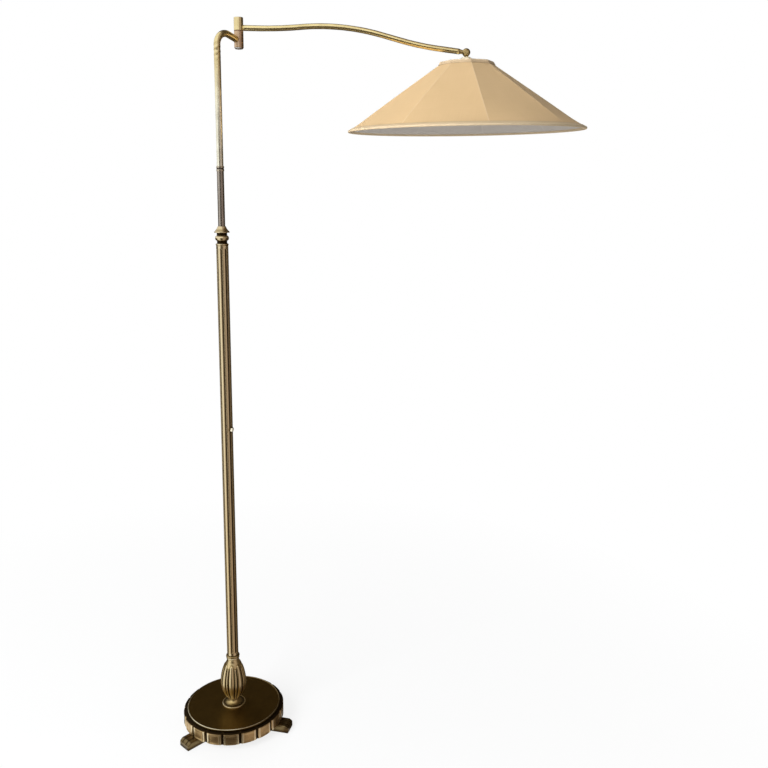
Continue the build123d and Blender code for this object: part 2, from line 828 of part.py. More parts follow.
# Closing cap under the lower barrel, and the friction washer between the barrels
save(
    "pivot_bottom_cap",
    turned(
        [
            (0, lower_barrel_bottom - bottom_cap_thickness),
            (bottom_cap_radius - bottom_cap_thickness / 2, lower_barrel_bottom - bottom_cap_thickness),
            (bottom_cap_radius, lower_barrel_bottom - bottom_cap_thickness / 2),
            (bottom_cap_radius, lower_barrel_bottom),
            (barrel_bore_radius - seat_gap, lower_barrel_bottom),
            (barrel_bore_radius - seat_gap, lower_barrel_bottom + bottom_cap_spigot),
            (0, lower_barrel_bottom + bottom_cap_spigot),
        ],
        pivot,
    ),
)
save(
    "pivot_washer",
    sleeve(
        barrel_radius - face_gap,
        barrel_bore_radius + face_gap,
        lower_barrel_top,
        upper_barrel_bottom - face_gap / 2,
        pivot,
    ),
)

# Upper barrel, which the arm is brazed to, with the pin's nut under a cap in its top
with BuildPart() as arm_barrel:
    add(
        turned(
            [
                (barrel_bore_radius, upper_barrel_bottom),
                (barrel_radius, upper_barrel_bottom),
                (barrel_radius, upper_barrel_top),
                (pivot_cap_radius + seat_gap, upper_barrel_top),
                (pivot_cap_radius + seat_gap, pivot_nut_seat - face_gap),
                (barrel_bore_radius, pivot_nut_seat - face_gap),
            ],
            pivot,
        )
    )
    with BuildSketch(Plane(origin=arm_start, z_dir=(1, 0, 0))):
        Circle(wire_window_radius)
    extrude(amount=2 * barrel_radius, mode=Mode.SUBTRACT)
save("arm_barrel", arm_barrel.part)
save(
    "pivot_nut",
    turned(
        [
            (pin_radius + seat_gap, pivot_nut_seat),
            (pivot_nut_radius, pivot_nut_seat),
            (pivot_nut_radius, pivot_nut_seat + pivot_nut_washer),
            (pivot_nut_radius - pivot_nut_washer / 2, pin_top),
            (pin_radius + seat_gap, pin_top),
        ],
        pivot,
    ),
)
with BuildPart() as pivot_top_cap:
    add(
        turned(
            [
                (0, upper_barrel_top - pivot_cap_thickness),
                (pivot_cap_radius, upper_barrel_top - pivot_cap_thickness),
                (pivot_cap_radius, upper_barrel_top),
                (0, upper_barrel_top),
            ],
            pivot,
        )
    )
save("pivot_top_cap", pivot_top_cap.part)

# Swing arm: a tube with three easy bends, coped to the upper barrel
arm_line = FilletPolyline(arm_start, *arm_corners, arm_end, radius=list(arm_bend_radii))
with BuildPart() as arm_tube:
    add(tube(arm_radius, arm_line))
    with Locations((pivot_x, pivot_y, arm_level)):
        Cylinder(barrel_radius + seat_gap, 4 * arm_radius, mode=Mode.SUBTRACT)
save("arm_tube", arm_tube.part)

# Fork of the ball knuckle: two cheeks on a neck that plugs into the arm
slot_half = tongue_thickness / 2 + face_gap / 2
neck_plane = Plane(origin=knuckle_centre, x_dir=(0, 1, 0), z_dir=-arm_direction)
hinge_plane = Plane(origin=knuckle_centre, x_dir=arm_direction, z_dir=(0, -1, 0))
with BuildPart(knuckle) as knuckle_fork:
    Sphere(knuckle_radius)
    with BuildSketch(neck_plane):
        Circle(knuckle_neck_radius)
    extrude(amount=knuckle_reach)
    with BuildSketch(neck_plane.offset(knuckle_reach - knuckle_collar_length)):
        Circle(knuckle_collar_radius)
    extrude(amount=knuckle_collar_length)
    with BuildSketch(neck_plane.offset(knuckle_reach)):
        Circle(arm_bore - seat_gap)
    extrude(amount=knuckle_spigot)
    with BuildSketch(neck_plane):
        Circle(knuckle_wire_bore)
    extrude(amount=2 * knuckle_spigot + knuckle_reach, mode=Mode.SUBTRACT)
    with Locations((-tongue_radius - face_gap, 0, 0)):
        Box(
            4 * knuckle_radius,
            2 * slot_half,
            4 * knuckle_radius,
            align=(Align.MIN, Align.CENTER, Align.CENTER),
            mode=Mode.SUBTRACT,
        )
    with BuildSketch(hinge_plane):
        Circle(knuckle_screw_radius + seat_gap)
    extrude(amount=2 * knuckle_radius, both=True, mode=Mode.SUBTRACT)
    for side in (-1, 1):
        with BuildSketch(hinge_plane.offset(side * knuckle_cheek_flat)):
            Circle(2 * knuckle_radius)
        extrude(amount=side * knuckle_radius, mode=Mode.SUBTRACT)
save("knuckle_fork", knuckle_fork.part)

# Tongue between the cheeks, with a stem and a hollow nipple for the lampholder
with BuildPart(head) as knuckle_tongue:
    with BuildSketch(hinge_plane):
        Circle(tongue_radius)
    extrude(amount=tongue_thickness / 2, both=True)
    with Locations((0, 0, -holder_top_drop / 2)):
        Box(tongue_stem_width, tongue_thickness, holder_top_drop)
    with BuildSketch(head.offset(-holder_top_drop)):
        Circle(nipple_radius)
    extrude(amount=-(nipple_bottom_drop - holder_top_drop))
    with BuildSketch(head.offset(-nipple_bottom_drop)):
        Circle(knuckle_wire_bore)
    extrude(amount=nipple_bottom_drop - tongue_radius, mode=Mode.SUBTRACT)
    with BuildSketch(hinge_plane):
        Circle(knuckle_screw_radius + running_gap)
    extrude(amount=tongue_thickness, both=True, mode=Mode.SUBTRACT)
save("knuckle_tongue", knuckle_tongue.part)

# Slotted hinge screw through the ball, and its round nut at the back
screw_face = knuckle_cheek_flat + knuckle_screw_head_height
with BuildPart() as knuckle_screw:
    with BuildSketch(hinge_plane.offset(-knuckle_cheek_flat - knuckle_nut_height)):
        Circle(knuckle_screw_radius)
    extrude(amount=2 * knuckle_cheek_flat + knuckle_nut_height)
    with BuildSketch(hinge_plane.offset(knuckle_cheek_flat)):
        Circle(knuckle_screw_head_radius)
    extrude(amount=knuckle_screw_head_height, taper=30)
    with BuildSketch(hinge_plane.offset(screw_face - knuckle_screw_slot_depth)):
        Rectangle(4 * knuckle_screw_head_radius, knuckle_screw_slot_width, rotation=knuckle_screw_slot_turn)
    extrude(amount=2 * knuckle_screw_slot_depth, mode=Mode.SUBTRACT)
save("knuckle_screw", knuckle_screw.part)
with BuildPart() as knuckle_nut:
    with BuildSketch(hinge_plane.offset(-knuckle_cheek_flat)):
        Circle(knuckle_nut_radius)
        Circle(knuckle_screw_radius + seat_gap, mode=Mode.SUBTRACT)
    extrude(amount=-knuckle_nut_height)
save("knuckle_nut", knuckle_nut.part)

# Lampholder: a domed cap, a threaded shell and a porcelain insert
cap_crown_bottom = holder_top_drop + holder_cap_crown
cap_bulge = sin(radians(45))
with BuildPart() as holder_cap:
    with BuildSketch(profile_plane(head)):
        with BuildLine():
            Line((nipple_radius + seat_gap, -holder_top_drop), (holder_cap_top_radius, -holder_top_drop))
            ThreePointArc(
                (holder_cap_top_radius, -holder_top_drop),
                (
                    holder_cap_top_radius + (holder_cap_radius - holder_cap_top_radius) * cap_bulge,
                    -holder_top_drop - holder_cap_crown * (1 - cap_bulge),
                ),
                (holder_cap_radius, -cap_crown_bottom),
            )
            Polyline(
                (holder_cap_radius, -cap_crown_bottom),
                (holder_cap_radius, -holder_cap_bottom),
                (holder_cap_radius - holder_wall, -holder_cap_bottom),
                (holder_cap_radius - holder_wall, -cap_crown_bottom),
                (holder_cap_top_radius, -holder_top_drop - 2 * holder_wall),
                (nipple_radius + seat_gap, -holder_top_drop - 2 * holder_wall),
                (nipple_radius + seat_gap, -holder_top_drop),
            )
        make_face()
    revolve(axis=Axis(head.origin, head.z_dir))
save("holder_cap", holder_cap.part)
shell_bore = shell_radius - holder_wall
save("holder_shell", sleeve(shell_radius, shell_bore, -shell_bottom, -holder_cap_bottom, head))
with BuildPart() as holder_insert:
    with BuildSketch(head.offset(-holder_cap_bottom - insert_inset)):
        Circle(shell_bore - seat_gap)
    extrude(amount=-insert_height)
save("holder_insert", holder_insert.part)

# Rings that clamp the shade's spider on the shell
save(
    "shade_ring_upper",
    sleeve(shade_ring_radius, shell_hole, -upper_ring_bottom, shade_ring_height - upper_ring_bottom, head),
)
save(
    "shade_ring_lower",
    sleeve(shade_ring_radius, shell_hole, -spider_bottom - shade_ring_height, -spider_bottom, head),
)

# Bulb: a small globe on a screw cap
bulb_neck_top = bulb_top + bulb_cap_height
globe_drop = bulb_top + bulb_length - bulb_radius
with BuildPart() as bulb_cap:
    with BuildSketch(head.offset(-bulb_top)):
        Circle(bulb_cap_radius)
    extrude(amount=-bulb_cap_height)
save("bulb_cap", bulb_cap.part)
with BuildPart(head.offset(-globe_drop)) as bulb_glass:
    neck_length = globe_drop - bulb_neck_top
    Sphere(bulb_radius)
    Cylinder(bulb_neck_radius, neck_length, align=(Align.CENTER, Align.CENTER, Align.MIN))
    Sphere(bulb_radius - bulb_glass_wall, mode=Mode.SUBTRACT)
    Cylinder(
        bulb_neck_radius - bulb_glass_wall,
        neck_length,
        align=(Align.CENTER, Align.CENTER, Align.MIN),
        mode=Mode.SUBTRACT,
    )
save("bulb_glass", bulb_glass.part)

# Shade frame: a many-sided wire at the top and one at the rim, joined by a rib at each corner
wire_depth = cover_thickness + frame_gap
top_wire_bottom = cover_top_drop + frame_wire
rim_wire_bottom = cover_rim_drop
top_wire_radius = cover_radius(top_wire_bottom - frame_wire, wire_depth)
rim_wire_radius = cover_radius(rim_wire_bottom - frame_wire, wire_depth)
side_angle = 360 / shade_sides
rib_azimuths = [shade_corner_azimuth + side_angle * side for side in range(shade_sides)]
rib_ends = []
for azimuth in rib_azimuths:
    ends = []
    for wire_radius_here, bottom in ((top_wire_radius, top_wire_bottom), (rim_wire_radius, rim_wire_bottom)):
        reach = wire_radius_here - frame_wire
        turn = radians(azimuth)
        end = Vector(reach * cos(turn), reach * sin(turn), frame_wire / 2 - bottom)
        ends.append(head.from_local_coords(end))
    rib_ends.append(ends)
with BuildPart() as shade_frame:
    for wire_radius_here, bottom in ((top_wire_radius, top_wire_bottom), (rim_wire_radius, rim_wire_bottom)):
        with BuildSketch(head.offset(-bottom)):
            RegularPolygon(wire_radius_here, shade_sides, rotation=shade_corner_azimuth)
            RegularPolygon(
                wire_radius_here - 2 * frame_wire,
                shade_sides,
                rotation=shade_corner_azimuth,
                mode=Mode.SUBTRACT,
            )
        extrude(amount=frame_wire)
    for top_end, rim_end in rib_ends:
        add(rod(frame_wire / 2, Line(top_end, rim_end)))
save("shade_frame", shade_frame.part)

# Spider: a ring clamped on the lampholder, with arms up to corners of the top wire
spider_outer = shade_ring_radius + spider_ring_margin
spider_reach = top_wire_radius - 2 * frame_wire - spider_arm_radius
with BuildPart() as shade_spider:
    with BuildSketch(head.offset(-spider_bottom)):
        Circle(spider_outer)
        Circle(shell_hole, mode=Mode.SUBTRACT)
    extrude(amount=spider_ring_thickness)
    for number in range(spider_arms):
        turn = radians(shade_corner_azimuth + 360 / spider_arms * number)
        inner_reach = spider_outer - spider_arm_radius
        inner_level = spider_arm_radius / 2 - spider_bottom
        outer_level = frame_wire / 2 - top_wire_bottom
        inner = Vector(inner_reach * cos(turn), inner_reach * sin(turn), inner_level)
        outer = Vector(spider_reach * cos(turn), spider_reach * sin(turn), outer_level)
        add(rod(spider_arm_radius, Line(head.from_local_coords(inner), head.from_local_coords(outer))))
save("shade_spider", shade_spider.part)

# Fabric cover and lining, in flat panels that meet at the corners
save(
    "shade_cover",
    mitred_band(
        [
            (cover_radius(cover_top_drop), -cover_top_drop),
            (cover_radius(cover_rim_drop), -cover_rim_drop),
            (cover_radius(cover_rim_drop, cover_thickness), -cover_rim_drop),
            (cover_radius(cover_top_drop, cover_thickness), -cover_top_drop),
        ]
    ),
)
rib_depth = wire_depth + (frame_wire + shade_flare * frame_wire / 2) / corner_inset
lining_depth = rib_depth + frame_wire / 2 + frame_gap
lining_top = cover_top_drop + lining_margin
lining_rim = cover_rim_drop - lining_margin
save(
    "shade_lining",
    mitred_band(
        [
            (cover_radius(lining_top, lining_depth), -lining_top),
            (cover_radius(lining_rim, lining_depth), -lining_rim),
            (cover_radius(lining_rim, lining_depth + lining_thickness), -lining_rim),
            (cover_radius(lining_top, lining_depth + lining_thickness), -lining_top),
        ]
    ),
)

# Trims: a band round the top opening and a rolled band round the rim
trim_foot = cover_radius(cover_top_drop) + top_trim_proud
save(
    "shade_top_trim",
    mitred_band(
        [
            (trim_foot, -cover_top_drop),
            (trim_foot - top_trim_lean, -shade_top_drop),
            (trim_foot - top_trim_lean - top_trim_thickness, -shade_top_drop),
            (trim_foot - top_trim_thickness, -cover_top_drop),
        ]
    ),
)
rim_outer = cover_radius(cover_rim_drop) + rim_trim_proud
save(
    "shade_rim_trim",
    mitred_band(
        [
            (rim_outer, -cover_rim_drop),
            (shade_rim_radius, -shade_rim_drop),
            (shade_rim_radius - rim_trim_thickness, -shade_rim_drop),
            (rim_outer - rim_trim_thickness, -cover_rim_drop),
        ]
    ),
)

# Wires inside the tubes: up the column to the mast, through the crook to the pivot, along the arm
switch_top = switch_height + switch_body_height / 2
save("column_wire", rod(wire_radius, Line((0, 0, switch_top + face_gap), (0, 0, mast_bottom - face_gap))))
wire_break = (lower_barrel_top + upper_barrel_bottom) / 2
mast_wire_line = FilletPolyline(
    (0, 0, mast_bottom),
    crook_top,
    crook_tip,
    (pivot_x, pivot_y, wire_break - face_gap / 2),
    radius=[crook_bend_radius, wire_bend_radius],
)
save("mast_wire", rod(wire_radius, mast_wire_line))
arm_wire_end = arm_end - arm_direction * (knuckle_spigot + face_gap)
arm_wire_line = FilletPolyline(
    (pivot_x, pivot_y, wire_break + face_gap / 2),
    arm_start,
    *arm_corners,
    arm_wire_end,
    radius=[wire_bend_radius, *arm_bend_radii],
)
save("arm_wire", rod(wire_radius, arm_wire_line))
head_wire_top = head.from_local_coords(Vector(0, 0, -nipple_bottom_drop))
head_wire_bottom = head.from_local_coords(Vector(0, 0, -holder_cap_bottom - insert_inset + face_gap))
save("head_wire", rod(wire_radius, Line(head_wire_top, head_wire_bottom)))

print("pivot axis", round(pivot_x, 3), round(pivot_y, 3))
print("knuckle centre", [round(value, 3) for value in knuckle_centre])
print("levels: column top", column_top, "nut top", nut_top, "mast bottom", mast_bottom)
print("lower barrel", lower_barrel_bottom, lower_barrel_top, "arm level", arm_level, "top", upper_barrel_top)
print("cord inlet", cord_axis.origin, "foot azimuths", foot_azimuths)
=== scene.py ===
# %% [markdown]
# This lesson dresses an old brass reading lamp: a weighted base on three feet, a fluted column, a mast
# with a crook, a curved swing arm and a nine-panelled fabric shade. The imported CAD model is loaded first
# and stays the frame of everything, so each surface made here takes its place from it.

# %% Load the frame
import json
from functools import partial
from math import atan2, cos, pi, radians, sin

import bmesh
import bpy
import numpy as np
from mathutils import Matrix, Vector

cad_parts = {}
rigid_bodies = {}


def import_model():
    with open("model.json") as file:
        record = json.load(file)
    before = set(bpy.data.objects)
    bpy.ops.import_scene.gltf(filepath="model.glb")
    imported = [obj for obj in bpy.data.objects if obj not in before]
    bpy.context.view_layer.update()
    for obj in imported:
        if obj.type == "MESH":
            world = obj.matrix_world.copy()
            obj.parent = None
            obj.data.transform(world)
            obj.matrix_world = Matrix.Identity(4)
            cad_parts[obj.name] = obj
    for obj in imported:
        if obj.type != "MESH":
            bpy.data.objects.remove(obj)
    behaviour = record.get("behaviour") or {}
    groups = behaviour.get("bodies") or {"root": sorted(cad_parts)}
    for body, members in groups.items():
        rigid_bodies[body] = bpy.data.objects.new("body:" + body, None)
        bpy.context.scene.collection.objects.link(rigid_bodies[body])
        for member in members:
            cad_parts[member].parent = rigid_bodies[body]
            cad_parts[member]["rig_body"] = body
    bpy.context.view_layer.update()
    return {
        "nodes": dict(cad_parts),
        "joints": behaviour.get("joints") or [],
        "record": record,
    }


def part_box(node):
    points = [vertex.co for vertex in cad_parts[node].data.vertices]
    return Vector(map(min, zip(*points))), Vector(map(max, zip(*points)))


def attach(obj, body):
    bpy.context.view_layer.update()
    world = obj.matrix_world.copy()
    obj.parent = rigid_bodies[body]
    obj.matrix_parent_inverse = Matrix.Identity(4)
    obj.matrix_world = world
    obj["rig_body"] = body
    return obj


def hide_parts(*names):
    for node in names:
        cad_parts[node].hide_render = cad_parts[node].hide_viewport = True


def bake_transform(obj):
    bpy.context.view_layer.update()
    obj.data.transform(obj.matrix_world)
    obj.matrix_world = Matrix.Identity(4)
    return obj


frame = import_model()
mm = 0.001
slot_of = {part["node"]: part["material_slot"] for part in frame["record"]["subparts"]}
joint_at = {joint["name"]: joint.get("pos_m") for joint in frame["joints"]}

# %% [markdown]
# The camera stands where the photograph was taken. A fit of the base's ellipse, the column's axis and the
# shade's rim gave its height, distance, pitch and focal length in pixels. The middle of the picture lies
# below the optical axis, which is what the lens shift is for. A camera could be placed by eye too, but then
# the base, the column and the shade would hardly agree with the picture at once.

# %% Camera
photo_size = 768
focal_pixels = 846.2
axis_row = 320.0
camera_pitch = radians(8.98)
camera_roll = radians(0.22)
camera_place = (0.3514, -1.8375, 1.2557)
sensor_width = 36.0


def stand(name, data):
    """A new object with this data, linked into the scene."""
    made = bpy.data.objects.new(name, data)
    bpy.context.scene.collection.objects.link(made)
    return made


camera_data = bpy.data.cameras.new("camera")
camera_data.sensor_width = sensor_width
camera_data.lens = focal_pixels / photo_size * sensor_width
camera_data.shift_y = (axis_row - photo_size / 2) / photo_size
camera = stand("camera", camera_data)
level_look = Matrix.Rotation(radians(90) - camera_pitch, 4, "X")
camera.matrix_world = Matrix.Translation(camera_place) @ level_look @ Matrix.Rotation(camera_roll, 4, "Z")
bpy.context.scene.camera = camera
bpy.context.scene.view_settings.view_transform = "Standard"
print("lens", round(camera_data.lens, 2), "shift", round(camera_data.shift_y, 4))

# %% [markdown]
# A finish is a tree of nodes. Each node could be made, set and linked line by line, but a tree is easier to
# read when one call makes a node and fills its sockets with values or with links. The other helpers here
# are the few nodes that come back again and again: a sum, a mix, a ramp, a noise and a bump.

# %% Node helpers
def fill(tree, made, sockets):
    """Sets each named socket of a node to its value, or links it where the value is another socket."""
    for key, value in sockets.items():
        if isinstance(value, bpy.types.NodeSocket):
            tree.links.new(value, made.inputs[key])
        else:
            made.inputs[key].default_value = value


def add_node(tree, kind, sockets=None, **settings):
    """Makes a node, applies its settings and fills its sockets."""
    made = tree.nodes.new(kind)
    for key, value in settings.items():
        setattr(made, key, value)
    fill(tree, made, sockets or {})
    return made


def compute(tree, operation, first, second=0.0, clamp=False):
    """One Math node: operation(first, second), held to 0..1 where clamp is set."""
    settings = {"operation": operation, "use_clamp": clamp}
    return add_node(tree, "ShaderNodeMath", {0: first, 1: second}, **settings).outputs[0]


print("node maker ready")

# %% Mixing, noise and bump
def mix_colour(tree, mask, low, high):
    """low where the mask is 0, high where it is 1."""
    return add_node(tree, "ShaderNodeMix", {0: mask, 6: low, 7: high}, data_type="RGBA").outputs[2]


def mix_shader(tree, mask, low, high):
    """The shader node low where the mask is 0, and high where it is 1."""
    return add_node(tree, "ShaderNodeMixShader", {0: mask, 1: low.outputs[0], 2: high.outputs[0]})


def ramp_value(tree, value, start, end, low=0.0, high=1.0):
    """A value carried in a straight line from start..end to low..high, and held at both ends."""
    sockets = {"Value": value, "From Min": start, "From Max": end, "To Min": low, "To Max": high}
    return add_node(tree, "ShaderNodeMapRange", sockets).outputs["Result"]


def noise(tree, vector, scale, detail=3.0, rough=0.55):
    """Soft noise from 0 to 1 on the given coordinates."""
    sockets = {"Vector": vector, "Scale": scale, "Detail": detail, "Roughness": rough}
    return add_node(tree, "ShaderNodeTexNoise", sockets).outputs["Fac"]


def bumped(tree, strength, distance, height):
    """The normal tilted by a height field: distance in metres times the height, as strong as strength."""
    sockets = {"Strength": strength, "Distance": distance, "Height": height}
    return add_node(tree, "ShaderNodeBump", sockets).outputs["Normal"]


print("mixing, noise and bump helpers ready")

# %% Groups and materials
def new_group(name, inputs, outputs):
    """An empty node group with named sockets; gives the tree, its input node and its output node."""
    tree = bpy.data.node_groups.new(name, "ShaderNodeTree")
    for key, kind, value in inputs:
        socket = tree.interface.new_socket(key, in_out="INPUT", socket_type=kind)
        if value is not None:
            socket.default_value = value
    for key in outputs:
        tree.interface.new_socket(key, in_out="OUTPUT", socket_type="NodeSocketFloat")
    return tree, tree.nodes.new("NodeGroupInput"), tree.nodes.new("NodeGroupOutput")


def new_material(name):
    """An empty material; gives it with its tree, its Principled shader and Object coordinates."""
    material = bpy.data.materials.new(name)
    material.use_nodes = True
    tree = material.node_tree
    tree.nodes.clear()
    shader = tree.nodes.new("ShaderNodeBsdfPrincipled")
    add_node(tree, "ShaderNodeOutputMaterial", {"Surface": shader.outputs["BSDF"]})
    return material, tree, shader, tree.nodes.new("ShaderNodeTexCoord").outputs["Object"]


print("group and material helpers ready")

# %% [markdown]
# The studio is a pale floor under a white sky. Light Path gives the sky and the floor their white for the
# camera and for reflections, while the light that falls on the lamp stays soft. Near the lamp the floor
# keeps part of its own shading, so a faint shadow stays under the feet. From below it is clear, so the
# base can be looked at. A lit backdrop could be built instead, but its white would change with every lamp.

# %% Sky
sky_light = (1.0, 0.97, 0.92, 1.0)
sky_strength = 0.38


def seen_directly(tree):
    """1 for rays from the camera, from a mirror or through glass, and 0 for light that spreads."""
    path = tree.nodes.new("ShaderNodeLightPath").outputs
    shiny = compute(tree, "MAXIMUM", path["Is Glossy Ray"], path["Is Transmission Ray"])
    return compute(tree, "MAXIMUM", path["Is Camera Ray"], shiny)


world = bpy.data.worlds.new("studio")
world.use_nodes = True
bpy.context.scene.world = world
sky = world.node_tree
sky.nodes.clear()
lit = add_node(sky, "ShaderNodeBackground", {"Color": sky_light, "Strength": sky_strength})
shown = add_node(sky, "ShaderNodeBackground", {"Color": (1, 1, 1, 1), "Strength": 1.0})
sky_mix = mix_shader(sky, seen_directly(sky), lit, shown)
add_node(sky, "ShaderNodeOutputWorld", {"Surface": sky_mix.outputs[0]})
print("sky strength", sky_strength)

# %% Floor
floor_radius = 12.0
white_near, white_far = 0.80, 1.0
near_reach, far_reach = 0.25, 1.5
floor_roughness = 0.9

floor_material, floor_tree, floor_shader, floor_place = new_material("pale_floor")
floor_tint = noise(floor_tree, floor_place, 1.7)
floor_colour = mix_colour(floor_tree, floor_tint, (0.90, 0.93, 0.97, 1), (0.94, 0.97, 1.0, 1))
fill(floor_tree, floor_shader, {"Base Color": floor_colour, "Roughness": floor_roughness})
floor_glow = add_node(floor_tree, "ShaderNodeEmission", {"Color": (1, 1, 1, 1), "Strength": 1.0})
from_lamp = add_node(floor_tree, "ShaderNodeVectorMath", {0: floor_place}, operation="LENGTH")
from_lamp = from_lamp.outputs["Value"]
white_share = ramp_value(floor_tree, from_lamp, near_reach, far_reach, white_near, white_far)
white_share = compute(floor_tree, "MULTIPLY", seen_directly(floor_tree), white_share)
floor_top = mix_shader(floor_tree, white_share, floor_shader, floor_glow)
from_below = add_node(floor_tree, "ShaderNodeNewGeometry").outputs["Backfacing"]
clear = add_node(floor_tree, "ShaderNodeBsdfTransparent")
floor_sides = mix_shader(floor_tree, from_below, floor_top, clear)
floor_output = next(n for n in floor_tree.nodes if n.type == "OUTPUT_MATERIAL")
fill(floor_tree, floor_output, {"Surface": floor_sides.outputs[0]})


def ring(radius, angle, height):
    """Points (r cos a, r sin a, h) of three arrays that broadcast together."""
    axes = radius * np.cos(angle), radius * np.sin(angle), height
    return np.stack(np.broadcast_arrays(*axes), axis=-1)


floor_rim = ring(floor_radius, np.linspace(0, 2 * pi, 64, endpoint=False), 0.0)
floor_mesh = bpy.data.meshes.new("floor")
floor_mesh.from_pydata(floor_rim.tolist(), [], [list(range(len(floor_rim)))])
floor_mesh.materials.append(floor_material)
floor = stand("floor", floor_mesh)
print("floor", floor_radius, "m across its radius")

# %% [markdown]
# Brass is a mirror, and a mirror in a white room is only white. A product photographer stands cards round
# the piece, so that the metal has something to show: dark ones behind it, at the left and by the camera,
# and a tan one at the right. Each card lies on the floor, turns up into a wall and leans over a little at
# the top. A picture of a room could be wrapped round the scene instead, but a few cards are enough, and
# each can be moved alone. Only reflections see the cards, and the lamps light the cloth and the floor
# alone, so no metal burns out.

# %% Lamps
aim = np.array([0.25, 0.03, 0.95])
lamp_table = [
    ("key", (-1.5, -2.15, 2.1), 1.8, 110.0, (1.0, 0.99, 0.97)),
    ("back", (-0.9, 2.6, 2.7), 2.0, 24.0, (1.0, 0.99, 0.97)),
]
for lamp_name, place, side, power, colour in lamp_table:
    lamp_data = bpy.data.lights.new(lamp_name, "AREA")
    lamp_data.size = side
    lamp_data.energy = power
    lamp_data.color = colour
    lamp = stand(lamp_name, lamp_data)
    back = np.array(place) - aim
    across = np.cross((0, 0, 1), back)
    across /= np.linalg.norm(across)
    back /= np.linalg.norm(back)
    turn = np.stack([across, np.cross(back, across), back], axis=1)
    lamp.matrix_world = Matrix.Translation(place) @ Matrix(turn.tolist()).to_4x4()
    lamp.visible_glossy = False
print("lamps", *[row[0] for row in lamp_table])

# %% Cards
card_near, card_far = 0.13, 3.4
card_lift = 0.003
card_drift = (0.75, 1.25)
card_table = [
    ("back_card", -14, 124, 5.5, 0.8, (0.085, 0.066, 0.042)),
    ("left_card", 124, 190, 1.3, 3.3, (0.085, 0.066, 0.042)),
    ("camera_card", -117, -68, 1.7, 3.3, (0.075, 0.056, 0.034)),
    ("tan_card", -68, -14, 4.2, 0.55, (0.47, 0.40, 0.37)),
]


def grid_quads(index):
    """Quad (i, j), (i, j+1), (i+1, j+1), (i+1, j) for every cell of a grid of point numbers."""
    corners = [index[:-1, :-1], index[:-1, 1:], index[1:, 1:], index[1:, :-1]]
    return np.stack(corners, axis=-1).reshape(-1, 4)


for card_name, start, end, height, roof, glow in card_table:
    card_material, card_tree, card_shader, card_place = new_material(card_name)
    card_shade = noise(card_tree, card_place, 0.8)
    low_glow, high_glow = (tuple(share * c for c in glow) + (1,) for share in card_drift)
    card_glow = mix_colour(card_tree, card_shade, low_glow, high_glow)
    fill(card_tree, card_shader, {"Emission Color": card_glow, "Emission Strength": 1.0})
    fill(card_tree, card_shader, {"Base Color": (0, 0, 0, 1), "Specular IOR Level": 0.0})
    bend = np.radians(np.linspace(start, end, 25))
    reach = np.array([card_near, card_far, card_far, roof])[:, None]
    level = np.array([card_lift, card_lift, height, height])[:, None]
    corners = ring(reach, bend, level)
    index = np.arange(corners[..., 0].size).reshape(corners.shape[:2])
    card_mesh = bpy.data.meshes.new(card_name)
    card_mesh.from_pydata(corners.reshape(-1, 3).tolist(), [], grid_quads(index).tolist())
    card_mesh.materials.append(card_material)
    card = stand(card_name, card_mesh)
    card.visible_camera = card.visible_diffuse = card.visible_shadow = card.visible_transmission = False
print("cards", *[row[0] for row in card_table])

# %% [markdown]
# Old brass is never one colour. Grease and air turn it brown in the hollows, hands and cloths keep the
# edges bright, and the drawing of a tube leaves fine lines along it. One node group makes these three
# masks, and each brass takes them with its own colours. How hollow or proud a spot is comes from the
# relief value that each surface below stores with its points; on the disc, the collar and the nut the proud
# value is also a painted highlight on one side. A painted picture could hold all this too, but noise on the
# object's own coordinates needs no unwrapping and stays sharp close up.

# %% Patina group
cloud_scale, speck_scale, line_scale = 26.0, 310.0, 420.0
hollow_gain, drift_gain, rub_gain = 1.15, 2.4, 0.8
dot_share, line_share = 0.15, 0.35
line_height, speck_height = 0.7, 0.2
patina, patina_in, patina_out = new_group(
    "patina",
    [
        ("Place", "NodeSocketVector", None),
        ("Drawn", "NodeSocketVector", None),
        ("Relief", "NodeSocketFloat", 0.0),
        ("Tarnish", "NodeSocketFloat", 0.3),
        ("Spread", "NodeSocketFloat", 0.5),
    ],
    ["Brown", "Bright", "Height"],
)
patina_math = partial(compute, patina)
place, drawn, relief, tarnish, spread = list(patina_in.outputs)[:5]
clouds = noise(patina, place, cloud_scale, 5.0, 0.6)
specks = noise(patina, place, speck_scale, 3.0, 0.6)
lines = noise(patina, drawn, line_scale, 2.0, 0.5)
hollow = patina_math("MULTIPLY", relief, -hollow_gain, clamp=True)
proud_and_highlight = patina_math("MULTIPLY", relief, 1.0, clamp=True)
drift = patina_math("MULTIPLY", patina_math("SUBTRACT", clouds, 0.5), drift_gain)
drift = patina_math("MULTIPLY", drift, spread)
dots = patina_math("MULTIPLY", ramp_value(patina, specks, 0.60, 0.74), dot_share)
line_shade = patina_math("MULTIPLY", patina_math("SUBTRACT", lines, 0.5), line_share)
brown = patina_math("ADD", patina_math("ADD", tarnish, drift), dots)
brown = patina_math("ADD", brown, line_shade)
brown = patina_math("SUBTRACT", brown, patina_math("MULTIPLY", proud_and_highlight, rub_gain), clamp=True)
brown = patina_math("MAXIMUM", brown, hollow, clamp=True)
bright = patina_math("MULTIPLY", proud_and_highlight, ramp_value(patina, clouds, 0.30, 0.62, 0.35, 1.0), clamp=True)
ridges = patina_math("MULTIPLY", lines, line_height)
height = patina_math("ADD", ridges, patina_math("MULTIPLY", specks, speck_height))
fill(patina, patina_out, {"Brown": brown, "Bright": bright, "Height": height})
print("group", patina.name, "nodes", len(patina.nodes))

# %% [markdown]
# One function turns the masks into a brass. The polished colour is what a clean spot reflects, the brown
# is what a tarnished one does, and a bright edge is nearly cream. Tarnish is also rougher than polish. Each
# brass could be built by hand, but a dozen trees would then have to be kept alike.

# %% Brass maker
tarnish_depth = 0.0006


